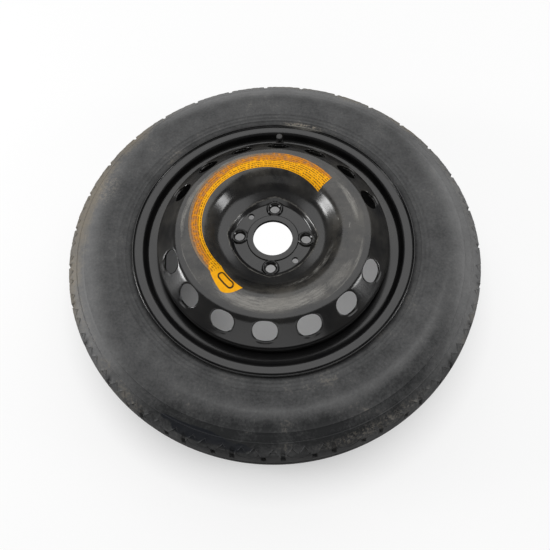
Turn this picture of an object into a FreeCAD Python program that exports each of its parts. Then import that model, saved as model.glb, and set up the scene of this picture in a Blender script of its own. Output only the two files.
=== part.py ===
"""Temporary spare wheel: a narrow tubeless tyre on a welded steel wheel with a snap-in valve.

The wheel lies flat with its outer face up. The origin is the centre of the hub mounting face, +Z is the
spin axis pointing out of the vehicle, and the valve stands on the +Y side. Millimetres and degrees.
"""
import FreeCAD
import Part
import Sketcher
import math
import os
import re

# Driving sizes, each written once.
SIZES = {
    # the wheel as a whole
    "wheel_offset": 41.0,  # hub face above the middle plane of rim and tyre
    "fit_gap": 0.3,  # room between pieces that are pushed together
    "punch_reach": 21.0,  # length of the punch that pierces a sloping sheet
    # tyre, in radii and in distances from the middle plane
    "tyre_radius": 303.0,
    "tyre_half_width": 62.5,
    "widest_radius": 247.0,
    "widest_belt": 16.0,
    "tread_half_width": 46.5,
    "tread_drop": 5.7,
    "shoulder_width": 8.0,
    "shoulder_drop": 16.5,
    "groove_place": 17.0,
    "groove_half_width": 3.5,
    "groove_depth": 5.0,
    "groove_draft": 0.7,
    "crown_fall": 0.6,
    "tread_thickness": 10.5,
    "shoulder_inset": 6.0,
    "wall_thickness": 7.0,
    "bead_width": 12.0,
    "bead_height": 7.5,
    "bead_lift": 4.0,
    "notch_count": 30.0,
    "notch_width": 5.0,
    "notch_reach": 17.0,
    "notch_angle": 7.4,
    "notch_drop": 2.85,
    # rim barrel
    "rim_sheet": 2.5,
    "seat_radius": 190.1,
    "rim_half_width": 50.8,
    "seat_taper": 5.0,
    "flange_height": 14.2,
    "lip_length": 6.2,
    "flange_bevel": 5.0,
    "seat_width": 14.0,
    "ledge_slope": 12.0,
    "well_depth": 21.6,
    "well_end": 7.0,
    "inner_seat_width": 24.0,
    # wheel disc
    "disc_sheet": 3.5,
    "skirt_gap": 0.2,
    "skirt_end": 23.0,
    "crown_height": 39.0,
    "disc_bevel": 7.3,
    "bevel_trim": 0.7,  # how much shorter a bend is on the inside of the sheet
    "bowl_radius": 99.0,
    "bowl_slope": 47.5,
    "bowl_foot": 18.3,
    "foot_slope": 22.0,
    "foot_edge": 57.0,
    "vent_inset": 19.07,
    "vent_height": 29.64,
    "vent_slope": 40.0,
    "vent_width": 33.0,
    "vent_length": 28.4,
    "vent_bend": 13.0,
    "vent_angle": 22.5,
    "vents_a_side": 7.0,
    "lobe_inset": 14.0,
    "lobe_round": 77.0,
    "lobe_slope": 40.0,
    "lobe_wall": 4.6,
    "hub_thickness": 4.0,
    "bore_radius": 29.05,
    "bore_ring": 9.5,
    "bore_ring_height": 1.5,
    "bolt_circle": 49.0,
    "bolt_count": 4.0,
    "bolt_radius": 7.25,
    "boss_radius": 13.0,
    "boss_height": 3.5,
    "boss_slope": 30.0,
    "seat_cone": 2.6,
    "seat_slope": 45.0,
    "pin_radius": 4.5,
    "pin_angle": 135.0,
    # weld beads between the disc's skirt and the barrel
    "weld_leg": 3.3,
    "weld_height": 5.0,
    "weld_angle": 14.0,
    "weld_count": 8.0,
    # label film on the crown
    "label_film": 0.2,
    "label_inner_share": 0.1535,  # of the crown's flat width, from the bowl outwards
    "label_outer_share": 0.6653,
    "label_start_angle": 46.0,
    "label_end_angle": 250.0,
    # valve, measured along its own axis from the ledge that it stands on
    "valve_inset": 7.375,
    "valve_hole": 5.75,
    "collar_radius": 6.9,
    "collar_height": 3.0,
    "collar_gap": 0.1,
    "rubber_top": 12.5,
    "rubber_tip": 4.6,
    "head_radius": 8.2,
    "head_height": 3.4,
    "stem_radius": 3.85,
    "shank_radius": 3.0,
    "shank_gap": 0.05,
    "stem_top": 24.0,
    "core_chamber": 2.4,
    "core_length": 11.0,
    "core_sink": 0.8,
    "core_gap": 0.1,
    "pin_shaft": 0.6,
    "pin_gap": 0.15,
    "poppet_radius": 1.8,
    "poppet_height": 1.6,
    "poppet_gap": 0.1,
    "air_bore": 1.0,
    "spring_length": 6.0,
    "spring_radius": 1.3,
    "spring_wire": 0.4,
    "spring_turns": 3.0,
    "cap_radius": 4.85,
    "cap_skirt": 9.3,
    "cap_roof": 2.0,
    "cap_gap": 0.25,
    "cap_chamfer": 0.8,
    "washer_thickness": 0.9,
    "washer_gap": 0.1,
    "washer_bore": 1.5,
}

SHEET_NAME = "Sizes"
NUMBER_AXES = ("DistanceX", "DistanceY")
FULL_TURN = 360
HALF_TURN = 180
UP = FreeCAD.Vector(0, 0, 1)

# Heights and radii that several pieces share.
HALF_RIM_FACE = "(rim_half_width + rim_sheet)"
SEAT_END = "(rim_half_width - seat_width)"
SEAT_END_RADIUS = "(seat_radius - seat_width * tan(seat_taper * 1 deg))"
LEDGE_RADIUS = f"({SEAT_END_RADIUS} - rim_sheet)"
LEDGE_FALL = "tan(ledge_slope * 1 deg)"
LEDGE_SHEET = "rim_sheet / cos(ledge_slope * 1 deg)"
INNER_SEAT_END = "(rim_half_width - inner_seat_width)"
INNER_SEAT_RADIUS = "(seat_radius - inner_seat_width * tan(seat_taper * 1 deg))"
WELL_RADIUS = "(seat_radius - well_depth)"
VALVE_CIRCLE = f"({LEDGE_RADIUS} - valve_inset)"
SKIRT_RADIUS = f"({WELL_RADIUS} - skirt_gap)"
VENT_CIRCLE = f"({SKIRT_RADIUS} - vent_inset)"
CONE_FALL = "tan(vent_slope * 1 deg)"
CROWN_EDGE = f"({VENT_CIRCLE} - (crown_height - vent_height) / {CONE_FALL})"
FOOT_RADIUS = "(bowl_radius - (crown_height - bowl_foot) / tan(bowl_slope * 1 deg))"
LOBE_REACH = f"({FOOT_RADIUS} - lobe_inset)"
LIP_HEIGHT = "(bowl_foot - lobe_inset * tan(foot_slope * 1 deg))"
CORE_TOP = "(stem_top - core_sink)"
CORE_FOOT = f"({CORE_TOP} - core_length)"
POPPET_FOOT = f"({CORE_FOOT} - poppet_gap - poppet_height)"
SPRING_SEAT = f"({POPPET_FOOT} - spring_length)"
HEAD_TOP = "(-rim_sheet - fit_gap)"
WASHER_FOOT = "(stem_top + washer_gap)"
WASHER_TOP = f"({WASHER_FOOT} + washer_thickness)"
CAP_BORE = "(stem_radius + cap_gap)"
CAP_FOOT = "(stem_top - cap_skirt)"


def ledge_height(radius):
    """Return the height of the ledge's upper face at a radius, above the middle plane."""
    return f"({SEAT_END} + rim_sheet - ({LEDGE_RADIUS} - ({radius})) * {LEDGE_FALL})"


def bound(text):
    """Return an expression with every size in it read from the sheet."""
    return re.sub(r"[a-z_]+", lambda word: f"{SHEET_NAME}.{word[0]}" if word[0] in SIZES else word[0], text)


def number(owner, text):
    """Evaluate an expression of sizes as a plain number."""
    value = owner.evalExpression(bound(text))
    return float(getattr(value, "Value", value))


def bind(owner, path, text):
    """Tie a property to an expression of sizes."""
    owner.setExpression(path, bound(text))


def make_sheet(doc):
    """Put the driving sizes into the document's spreadsheet."""
    sheet = doc.addObject("Spreadsheet::Sheet", SHEET_NAME)
    for row, (alias, value) in enumerate(SIZES.items(), start=1):
        sheet.set(f"A{row}", alias)
        sheet.set(f"B{row}", str(value))
        sheet.setAlias(f"B{row}", alias)
    doc.recompute()


def make_body(doc, label):
    """Add a body whose label names its file."""
    body = doc.addObject("PartDesign::Body", label)
    body.Label = label
    return body


def make_sketch(body, name, role, height=None):
    """Add a sketch on one of the body's origin planes, lifted by an expression if one is given."""
    sketch = body.newObject("Sketcher::SketchObject", name)
    plane = next(item for item in body.Origin.OriginFeatures if item.Role == role)
    sketch.AttachmentSupport = (plane, [""])
    sketch.MapMode = "FlatFace"
    if height:
        bind(sketch, "AttachmentOffset.Base.z", height)
    return sketch


def pin_point(sketch, geometry, position, place):
    """Tie a sketch point to a pair of expressions."""
    for kind, text in zip(NUMBER_AXES, place):
        value = number(sketch, text)
        index = sketch.addConstraint(Sketcher.Constraint(kind, -1, 1, geometry, position, value))
        bind(sketch, f"Constraints[{index}]", text)


def set_radius(sketch, geometry, text):
    """Tie the radius of an arc or circle to an expression."""
    index = sketch.addConstraint(Sketcher.Constraint("Radius", geometry, number(sketch, text)))
    bind(sketch, f"Constraints[{index}]", text)


def join(sketch, first, second):
    """Join the end of one edge to the start of the next, each given as (geometry, position)."""
    sketch.addConstraint(Sketcher.Constraint("Coincident", *first, *second))


def arc_between(sketch, start, end, centre):
    """Draw the shorter arc from start to end, and return it with the positions of those two points."""
    first = math.atan2(start.y - centre.y, start.x - centre.x)
    last = math.atan2(end.y - centre.y, end.x - centre.x)
    left_turn = (start - centre).cross(end - centre).z > 0
    span = (first, last) if left_turn else (last, first)
    circle = Part.Circle(centre, UP, (start - centre).Length)
    arc = sketch.addGeometry(Part.ArcOfCircle(circle, *span))
    return arc, (1, 2) if left_turn else (2, 1)


class Corner:
    """A corner of an outline: its place as two expressions, and how it is broken."""

    def __init__(self, across, along, bevel=None, bend=None):
        self.place = (across, along)
        self.bevel = bevel  # how far from the corner a flat break starts on both sides
        self.bend = bend  # radius of an arc that rounds the corner

    def mirrored(self):
        """Return the same corner on the other side of the middle plane."""
        return Corner(self.place[0], f"-({self.place[1]})", self.bevel, self.bend)

    def locate(self, sketch):
        """Work out where the corner is and how far its break reaches."""
        self.point = FreeCAD.Vector(number(sketch, self.place[0]), number(sketch, self.place[1]), 0)

    def break_points(self, sketch, before, after):
        """Return where the edges before and after the corner end and start."""
        into = (before.point - self.point).normalize()
        out = (after.point - self.point).normalize()
        reach = 0.0
        if self.bevel:
            reach = number(sketch, self.bevel)
        if self.bend:
            half = into.getAngle(out) / 2
            reach = number(sketch, self.bend) / math.tan(half)
            self.centre = self.point + (into + out).normalize() * (number(sketch, self.bend) / math.sin(half))
        return self.point + into * reach, self.point + out * reach

    def tie(self, sketch, before, after, ends):
        """Tie the two edges that meet here, with the break between them, to the corner's sizes."""
        if not self.bevel and not self.bend:
            sketch.addConstraint(Sketcher.Constraint("Coincident", before, 2, after, 1))
            pin_point(sketch, after, 1, self.place)
            return
        mark = sketch.addGeometry(Part.Point(self.point), True)
        pin_point(sketch, mark, 1, self.place)
        sketch.addConstraint(Sketcher.Constraint("PointOnObject", mark, 1, before))
        sketch.addConstraint(Sketcher.Constraint("PointOnObject", mark, 1, after))
        if self.bend:
            arc, tips = arc_between(sketch, *ends, self.centre)
            sketch.addConstraint(Sketcher.Constraint("Tangent", before, 2, arc, tips[0]))
            sketch.addConstraint(Sketcher.Constraint("Tangent", arc, tips[1], after, 1))
            set_radius(sketch, arc, self.bend)
            return
        flat = sketch.addGeometry(Part.LineSegment(*ends))
        sketch.addConstraint(Sketcher.Constraint("Coincident", before, 2, flat, 1))
        sketch.addConstraint(Sketcher.Constraint("Coincident", flat, 2, after, 1))
        for edge, tip in ((before, 2), (after, 1)):
            value = number(sketch, self.bevel)
            index = sketch.addConstraint(Sketcher.Constraint("Distance", mark, 1, edge, tip, value))
            bind(sketch, f"Constraints[{index}]", self.bevel)


def draw_outline(sketch, corners):
    """Draw a closed outline of straight edges through corners that stay tied to their sizes."""
    for corner in corners:
        corner.locate(sketch)
    following = corners[1:] + corners[:1]
    leading = corners[-1:] + corners[:-1]
    ends = [c.break_points(sketch, before, after) for before, c, after in zip(leading, corners, following)]
    starts = [pair[1] for pair in ends]
    stops = [pair[0] for pair in ends[1:] + ends[:1]]
    edges = [sketch.addGeometry(Part.LineSegment(*pair)) for pair in zip(starts, stops)]
    for i, corner in enumerate(corners):
        corner.tie(sketch, edges[i - 1], edges[i], ends[i])


def draw_circle(sketch, place, radius):
    """Draw a circle tied to a centre and a radius."""
    centre = FreeCAD.Vector(number(sketch, place[0]), number(sketch, place[1]), 0)
    circle = sketch.addGeometry(Part.Circle(centre, UP, number(sketch, radius)))
    pin_point(sketch, circle, 3, place)
    set_radius(sketch, circle, radius)


def revolve(body, name, corners):
    """Turn a closed section of corners, each a radius and a height, once round the body's Z axis."""
    sketch = make_sketch(body, f"{name}_section", "XZ_Plane")
    draw_outline(sketch, corners)
    turned = body.newObject("PartDesign::Revolution", name)
    turned.Profile = sketch
    turned.ReferenceAxis = (sketch, ["V_Axis"])
    turned.Angle = FULL_TURN
    return turned


def extrude(body, kind, sketch, name, length, taper=None, down=False):
    """Add a Pad or a Pocket of a sketch with its length and draft tied to sizes."""
    feature = body.newObject(f"PartDesign::{kind}", name)
    feature.Profile = sketch
    feature.Reversed = down
    bind(feature, "Length", length)
    if taper:
        bind(feature, "TaperAngle", taper)
    return feature


def polar(body, features, name, count, angle):
    """Repeat features round the body's Z axis."""
    axis = next(item for item in body.Origin.OriginFeatures if item.Role == "Z_Axis")
    pattern = body.newObject("PartDesign::PolarPattern", name)
    pattern.Originals = features
    pattern.Axis = (axis, [""])
    bind(pattern, "Angle", angle)
    bind(pattern, "Occurrences", count)
    body.Tip = pattern
    return pattern


def both_sides(half):
    """Complete a section that is the same on both sides of the middle plane, given its upper half."""
    return half + [corner.mirrored() for corner in reversed(half)]


def make_tyre(doc):
    """The tyre: ribs and shoulder notches outside, an open air chamber and two beads inside."""
    body = make_body(doc, "tyre")
    bind(body, "Placement.Base.z", "-wheel_offset")
    groove_floor = "tyre_radius - groove_depth"
    bead_base = "seat_radius + fit_gap"
    upper_half = [
        Corner("tyre_radius", "groove_place - groove_half_width"),
        Corner(groove_floor, "groove_place - groove_half_width + groove_draft"),
        Corner(groove_floor, "groove_place + groove_half_width - groove_draft"),
        Corner("tyre_radius - crown_fall", "groove_place + groove_half_width"),
        Corner("tyre_radius - tread_drop", "tread_half_width"),
        Corner("tyre_radius - shoulder_drop", "tread_half_width + shoulder_width"),
        Corner("widest_radius + widest_belt", "tyre_half_width"),
        Corner("widest_radius - widest_belt", "tyre_half_width"),
        Corner("seat_radius + flange_height + bead_lift", HALF_RIM_FACE),
        Corner("seat_radius + flange_height + fit_gap", "rim_half_width - fit_gap"),
        Corner(bead_base, "rim_half_width - fit_gap"),
        Corner(f"{bead_base} - bead_width * tan(seat_taper * 1 deg)", "rim_half_width - fit_gap - bead_width"),
        Corner(f"{bead_base} + bead_height", "rim_half_width - bead_width"),
        Corner("widest_radius", "tyre_half_width - wall_thickness"),
        Corner("tyre_radius - tread_thickness", "tread_half_width - shoulder_inset"),
    ]
    revolve(body, "carcass", both_sides(upper_half))
    inner = "tread_half_width - notch_reach"
    outer = "tread_half_width + shoulder_width"
    beyond = "tyre_radius + groove_depth"
    notch = [
        Corner("tyre_radius - notch_drop", inner),
        Corner(beyond, inner),
        Corner(beyond, outer),
        Corner("tyre_radius - shoulder_drop", outer),
    ]
    for turn, angle in (("first", "0"), ("second", "notch_angle")):
        sketch = make_sketch(body, f"{turn}_notch_section", "XZ_Plane")
        bind(sketch, "AttachmentOffset.Rotation.Pitch", angle)
        draw_outline(sketch, notch)
        draw_outline(sketch, [corner.mirrored() for corner in notch])
        cut = extrude(body, "Pocket", sketch, f"{turn}_notch", "notch_width")
        cut.Midplane = True
        polar(body, [cut], f"{turn}_notches", "notch_count", f"{FULL_TURN}")
    return body


def make_barrel(doc):
    """The rolled rim: two flanges with turned-out lips, bead seats, a valve ledge and a drop well."""
    body = make_body(doc, "rim_barrel")
    bind(body, "Placement.Base.z", "-wheel_offset")
    lip_radius = "seat_radius + flange_height"
    lip_end = "rim_half_width + lip_length"
    ledge_under = f"{ledge_height(SEAT_END_RADIUS)} - {LEDGE_SHEET}"
    well_outer = f"{WELL_RADIUS} + rim_sheet"
    tyre_side = [
        Corner(lip_radius, lip_end),
        Corner(lip_radius, "rim_half_width"),
        Corner("seat_radius", "rim_half_width"),
        Corner(SEAT_END_RADIUS, ledge_under),
        Corner(well_outer, f"{ledge_height(well_outer)} - {LEDGE_SHEET}"),
        Corner(well_outer, "-well_end"),
        Corner(INNER_SEAT_RADIUS, f"-{INNER_SEAT_END}"),
        Corner("seat_radius", "-rim_half_width"),
        Corner(lip_radius, "-rim_half_width"),
        Corner(lip_radius, f"-({lip_end})"),
    ]
    open_side = [
        Corner(f"{lip_radius} - rim_sheet", f"-({lip_end})"),
        Corner(f"{lip_radius} - rim_sheet", f"-{HALF_RIM_FACE}"),
        Corner("seat_radius - rim_sheet", f"-{HALF_RIM_FACE}", bevel="flange_bevel"),
        Corner(f"{INNER_SEAT_RADIUS} - rim_sheet", f"-{INNER_SEAT_END} - rim_sheet / 2"),
        Corner(WELL_RADIUS, "-well_end - rim_sheet / 2"),
        Corner(WELL_RADIUS, ledge_height(WELL_RADIUS)),
        Corner(LEDGE_RADIUS, ledge_height(LEDGE_RADIUS)),
        Corner("seat_radius - rim_sheet", HALF_RIM_FACE, bevel="flange_bevel"),
        Corner(f"{lip_radius} - rim_sheet", HALF_RIM_FACE),
        Corner(f"{lip_radius} - rim_sheet", lip_end),
    ]
    revolve(body, "rolled_sheet", tyre_side + open_side)
    sketch = make_sketch(body, "valve_hole_circle", "XY_Plane", ledge_height(VALVE_CIRCLE))
    bind(sketch, "AttachmentOffset.Base.y", VALVE_CIRCLE)
    bind(sketch, "AttachmentOffset.Rotation.Roll", "ledge_slope")
    draw_circle(sketch, ("0", "0"), "valve_hole")
    hole = extrude(body, "Pocket", sketch, "valve_hole_cut", "punch_reach")
    hole.Midplane = True
    return body


def cone_height(radius):
    """Return the height of the vented cone's outer face at a radius."""
    return f"(vent_height - ({radius} - {VENT_CIRCLE}) * {CONE_FALL})"


def sheet_shift(first, second):
    """Return how far along the radius a sheet's underside corner lies from the corner above it.

    Args are the slopes, in degrees, of the sheet before and after the corner, seen from the axis outwards.
    """
    thicker = f"(1 / cos({second} * 1 deg) - 1 / cos({first} * 1 deg))"
    return f"disc_sheet * {thicker} / (tan({second} * 1 deg) - tan({first} * 1 deg))"


def make_disc(doc):
    """The pressed disc: hub pad with bolt bosses in a lobed recess, bowl, crown, vented cone and skirt."""
    body = make_body(doc, "wheel_disc")
    cone_sheet = "disc_sheet / cos(vent_slope * 1 deg)"
    foot_fall = "tan(foot_slope * 1 deg)"
    foot_low = f"bowl_foot - ({FOOT_RADIUS} - foot_edge) * {foot_fall}"
    inner_skirt = f"({SKIRT_RADIUS} - disc_sheet)"
    under_foot = sheet_shift("foot_slope", "bowl_slope")
    under_bowl = sheet_shift("0", "bowl_slope")
    under_crown = sheet_shift("0", "vent_slope")
    inner_bevel = "disc_bevel - bevel_trim"
    foot_sheet = "disc_sheet / cos(foot_slope * 1 deg)"
    upper_face = [
        Corner("foot_edge", foot_low),
        Corner(FOOT_RADIUS, "bowl_foot"),
        Corner("bowl_radius", "crown_height", bevel="disc_bevel"),
        Corner(CROWN_EDGE, "crown_height", bevel="disc_bevel"),
        Corner(SKIRT_RADIUS, cone_height(SKIRT_RADIUS), bevel="disc_bevel"),
        Corner(SKIRT_RADIUS, "-skirt_end"),
    ]
    under_face = [
        Corner(inner_skirt, "-skirt_end"),
        Corner(inner_skirt, f"{cone_height(inner_skirt)} - {cone_sheet}", bevel=inner_bevel),
        Corner(f"{CROWN_EDGE} - {under_crown}", "crown_height - disc_sheet", bevel=inner_bevel),
        Corner(f"bowl_radius + {under_bowl}", "crown_height - disc_sheet", bevel=inner_bevel),
        Corner(f"{FOOT_RADIUS} + {under_foot}", f"bowl_foot + {under_foot} * {foot_fall} - {foot_sheet}"),
        Corner("foot_edge", f"{foot_low} - {foot_sheet}"),
    ]
    revolve(body, "pressed_sheet", upper_face + under_face)
    make_hub(body)
    make_bolt_holes(body)
    make_vents(body)
    return body


def draw_lobes(sketch, reach, rounding):
    """Draw a rounded four-cornered outline with its corners on the sketch's axes."""
    corner = number(sketch, reach)
    places = [(reach, "0"), ("0", reach), (f"-({reach})", "0"), ("0", f"-({reach})")]
    points = [FreeCAD.Vector(*place) for place in ((corner, 0), (0, corner), (-corner, 0), (0, -corner))]
    half_chord = corner / math.sqrt(2)
    back = half_chord - math.sqrt(number(sketch, rounding) ** 2 - half_chord**2)
    arcs = []
    for start, end in zip(points, points[1:] + points[:1]):
        arcs.append(arc_between(sketch, start, end, (start + end).normalize() * back)[0])
    for i, arc in enumerate(arcs):
        join(sketch, (arcs[i - 1], 2), (arc, 1))
        pin_point(sketch, arc, 1, places[i])
        set_radius(sketch, arc, rounding)


def make_hub(body):
    """Sink the lobed hub recess into the bowl, down to the hub pad, and open the centre bore."""
    outside = make_sketch(body, "hub_cup_outline", "XY_Plane", LIP_HEIGHT)
    draw_lobes(outside, f"{LOBE_REACH} + lobe_wall", "lobe_round + lobe_wall")
    extrude(body, "Pad", outside, "hub_cup", LIP_HEIGHT, taper="-lobe_slope", down=True)
    inside = make_sketch(body, "hub_recess_outline", "XY_Plane", LIP_HEIGHT)
    draw_lobes(inside, LOBE_REACH, "lobe_round")
    extrude(body, "Pocket", inside, "hub_recess", f"{LIP_HEIGHT} - hub_thickness", taper="-lobe_slope")
    ring = make_sketch(body, "bore_ring_circle", "XY_Plane", "hub_thickness")
    draw_circle(ring, ("0", "0"), "bore_radius + bore_ring")
    extrude(body, "Pad", ring, "bore_ring_pad", "bore_ring_height")
    bore = make_sketch(body, "bore_circle", "XY_Plane")
    draw_circle(bore, ("0", "0"), "bore_radius")
    extrude(body, "Pocket", bore, "centre_bore", "hub_thickness + bore_ring_height", down=True)


def make_bolt_holes(body):
    """Raise the bolt bosses, cut their holes and cone seats, and drill the two locating holes."""
    place = ("bolt_circle", "0")
    foot = make_sketch(body, "boss_circle", "XY_Plane", "hub_thickness")
    draw_circle(foot, place, "boss_radius")
    boss = extrude(body, "Pad", foot, "boss", "boss_height", taper="-boss_slope")
    polar(body, [boss], "bosses", "bolt_count", f"{FULL_TURN}")
    circle = make_sketch(body, "bolt_circle_hole", "XY_Plane")
    draw_circle(circle, place, "bolt_radius")
    hole = extrude(body, "Pocket", circle, "bolt_hole", "hub_thickness + boss_height", down=True)
    mouth = make_sketch(body, "cone_seat_circle", "XY_Plane", "hub_thickness + boss_height")
    draw_circle(mouth, place, "bolt_radius + seat_cone")
    cone = extrude(body, "Pocket", mouth, "cone_seat", "seat_cone", taper="-seat_slope")
    polar(body, [hole, cone], "bolt_holes", "bolt_count", f"{FULL_TURN}")
    pins = make_sketch(body, "locating_circles", "XY_Plane")
    across = ("bolt_circle * cos(pin_angle * 1 deg)", "bolt_circle * sin(pin_angle * 1 deg)")
    draw_circle(pins, across, "pin_radius")
    draw_circle(pins, tuple(f"-({value})" for value in across), "pin_radius")
    extrude(body, "Pocket", pins, "locating_holes", "hub_thickness", down=True)


def make_vents(body):
    """Pierce the cone square to its face: two runs of vents, with a blank place between them on each side."""
    for run, angle in (("upper", "vent_angle"), ("lower", f"vent_angle - {HALF_TURN}")):
        sketch = make_sketch(body, f"{run}_vent_outline", "XY_Plane", "vent_height")
        bind(sketch, "AttachmentOffset.Base.x", f"{VENT_CIRCLE} * cos(({angle}) * 1 deg)")
        bind(sketch, "AttachmentOffset.Base.y", f"{VENT_CIRCLE} * sin(({angle}) * 1 deg)")
        bind(sketch, "AttachmentOffset.Rotation.Yaw", angle)
        bind(sketch, "AttachmentOffset.Rotation.Pitch", "vent_slope")
        along, across = "vent_length / 2", "vent_width / 2"
        draw_outline(
            sketch,
            [
                Corner(along, across, bend="vent_bend"),
                Corner(f"-{along}", across, bend="vent_bend"),
                Corner(f"-{along}", f"-{across}", bend="vent_bend"),
                Corner(along, f"-{across}", bend="vent_bend"),
            ],
        )
        vent = extrude(body, "Pocket", sketch, f"{run}_vent", "punch_reach")
        vent.Midplane = True
        polar(body, [vent], f"{run}_vents", "vents_a_side", "vent_angle * (vents_a_side - 1)")


def make_welds(doc):
    """The short weld beads that join the end of the disc's skirt to the barrel, as separate solids."""
    sheet = doc.getObject(SHEET_NAME)
    radius = number(sheet, WELL_RADIUS)
    top = number(sheet, "-skirt_end")
    corners = [
        FreeCAD.Vector(radius, 0, top),
        FreeCAD.Vector(radius, 0, top - number(sheet, "weld_height")),
        FreeCAD.Vector(radius - number(sheet, "weld_leg"), 0, top),
    ]
    section = Part.Face(Part.makePolygon(corners + corners[:1]))
    bead = section.revolve(FreeCAD.Vector(), UP, number(sheet, "weld_angle"))
    count = int(number(sheet, "weld_count"))
    beads = []
    for i in range(count):
        copy = bead.copy()
        copy.rotate(FreeCAD.Vector(), UP, FULL_TURN * i / count)
        beads.append(copy)
    welds = doc.addObject("Part::Feature", "weld_beads")
    welds.Label = "weld_beads"
    welds.Shape = Part.makeCompound(beads)
    welds.Placement = FreeCAD.Placement()
    return welds


def make_label(doc):
    """The printed film on the crown, a flat arc that reaches round more than half of it."""
    rings = []
    crown_width = f"({CROWN_EDGE} - bowl_radius)"
    for name, share in (("label_outside", "label_outer_share"), ("label_inside", "label_inner_share")):
        ring = doc.addObject("Part::Cylinder", name)
        bind(ring, "Radius", f"bowl_radius + {crown_width} * {share}")
        bind(ring, "Height", "label_film")
        bind(ring, "Angle", "label_end_angle - label_start_angle")
        bind(ring, "Placement.Base.z", "crown_height")
        bind(ring, "Placement.Rotation.Yaw", "label_start_angle")
        rings.append(ring)
    film = doc.addObject("Part::Cut", "crown_label")
    film.Label = "crown_label"
    film.Base, film.Tool = rings
    return film


def make_valve_body(doc, label):
    """Add a body that stands square on the ledge at the valve hole."""
    body = make_body(doc, label)
    bind(body, "Placement.Base.y", VALVE_CIRCLE)
    bind(body, "Placement.Base.z", f"{ledge_height(VALVE_CIRCLE)} - wheel_offset")
    bind(body, "Placement.Rotation.Roll", "ledge_slope")
    return body


def make_valve_rubber(doc):
    """The snap-in rubber body: a head inside the rim, a neck in the hole and a tapered collar outside."""
    body = make_valve_body(doc, "valve_rubber")
    bore = "shank_radius + shank_gap"
    neck = "valve_hole - fit_gap"
    head_foot = f"{HEAD_TOP} - head_height"
    revolve(
        body,
        "rubber",
        [
            Corner(bore, head_foot),
            Corner("head_radius", head_foot),
            Corner("head_radius", HEAD_TOP),
            Corner(neck, HEAD_TOP),
            Corner(neck, "collar_gap"),
            Corner("collar_radius", "collar_gap"),
            Corner("collar_radius", "collar_height"),
            Corner("rubber_tip", "rubber_top"),
            Corner(bore, "rubber_top"),
        ],
    )
    return body


def make_valve_stem(doc):
    """The brass stem: a shank moulded into the rubber, a threaded top and a stepped bore."""
    body = make_valve_body(doc, "valve_stem")
    foot = f"{HEAD_TOP} - head_height"
    revolve(
        body,
        "stem",
        [
            Corner("air_bore", foot),
            Corner("shank_radius", foot),
            Corner("shank_radius", "rubber_top + shank_gap"),
            Corner("stem_radius", "rubber_top + shank_gap"),
            Corner("stem_radius", "stem_top"),
            Corner("core_chamber", "stem_top"),
            Corner("core_chamber", SPRING_SEAT),
            Corner("air_bore", SPRING_SEAT),
        ],
    )
    return body


def make_valve_core(doc):
    """The core's barrel, screwed into the top of the stem with the pin's way through it."""
    body = make_valve_body(doc, "valve_core")
    way, side = "pin_shaft + pin_gap", "core_chamber - core_gap"
    revolve(
        body,
        "core",
        [Corner(way, CORE_FOOT), Corner(side, CORE_FOOT), Corner(side, CORE_TOP), Corner(way, CORE_TOP)],
    )
    return body


def make_core_pin(doc):
    """The core's pin with the poppet that shuts against the foot of the barrel."""
    body = make_valve_body(doc, "core_pin")
    poppet_top = f"{POPPET_FOOT} + poppet_height"
    pin_top = "stem_top - poppet_gap"
    revolve(
        body,
        "pin",
        [
            Corner("0", POPPET_FOOT),
            Corner("poppet_radius", POPPET_FOOT),
            Corner("poppet_radius", poppet_top),
            Corner("pin_shaft", poppet_top),
            Corner("pin_shaft", pin_top),
            Corner("0", pin_top),
        ],
    )
    return body


def make_core_spring(doc):
    """The coil spring that holds the poppet up, of square wire, between the stem's seat and the poppet."""
    body = make_valve_body(doc, "core_spring")
    wire = make_sketch(body, "wire_section", "XZ_Plane")
    low = f"{SPRING_SEAT} + poppet_gap"
    draw_outline(
        wire,
        [
            Corner("spring_radius - spring_wire", low),
            Corner("spring_radius", low),
            Corner("spring_radius", f"{low} + spring_wire"),
            Corner("spring_radius - spring_wire", f"{low} + spring_wire"),
        ],
    )
    coil = body.newObject("PartDesign::AdditiveHelix", "coil")
    coil.Profile = wire
    coil.ReferenceAxis = (wire, ["V_Axis"])
    coil.Mode = "height-turns-growth"
    bind(coil, "Height", "spring_length - spring_wire - 2 * poppet_gap")
    bind(coil, "Turns", "spring_turns")
    return body


def make_cap_seal(doc):
    """The rubber washer inside the cap, which shuts on the mouth of the stem."""
    body = make_valve_body(doc, "cap_seal")
    outer = f"{CAP_BORE} - washer_gap"
    revolve(
        body,
        "washer",
        [
            Corner("washer_bore", WASHER_FOOT),
            Corner(outer, WASHER_FOOT),
            Corner(outer, WASHER_TOP),
            Corner("washer_bore", WASHER_TOP),
        ],
    )
    return body


def make_cap(doc):
    """The screw cap of the valve, with a chamfered top."""
    body = make_valve_body(doc, "valve_cap")
    ceiling = f"{WASHER_TOP} + washer_gap"
    top = f"{ceiling} + cap_roof"
    revolve(
        body,
        "cap",
        [
            Corner(CAP_BORE, CAP_FOOT),
            Corner("cap_radius", CAP_FOOT),
            Corner("cap_radius", f"{top} - cap_chamfer"),
            Corner("cap_radius - cap_chamfer", top),
            Corner("0", top),
            Corner("0", ceiling),
            Corner(CAP_BORE, ceiling),
        ],
    )
    return body


PIECES = (
    make_tyre,
    make_barrel,
    make_disc,
    make_welds,
    make_label,
    make_valve_rubber,
    make_valve_stem,
    make_valve_core,
    make_core_pin,
    make_core_spring,
    make_cap_seal,
    make_cap,
)


def check(doc, pieces):
    """Stop if any object failed to build or any piece has no sound solid."""
    failed = [item.Name for item in doc.Objects if {"Invalid", "Error"} & set(item.State)]
    if failed:
        raise RuntimeError(f"not built: {', '.join(failed)}")
    for piece in pieces:
        if piece.Shape.isNull() or not piece.Shape.Solids or not piece.Shape.isValid():
            raise RuntimeError(f"no sound solid: {piece.Label}")


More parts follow.
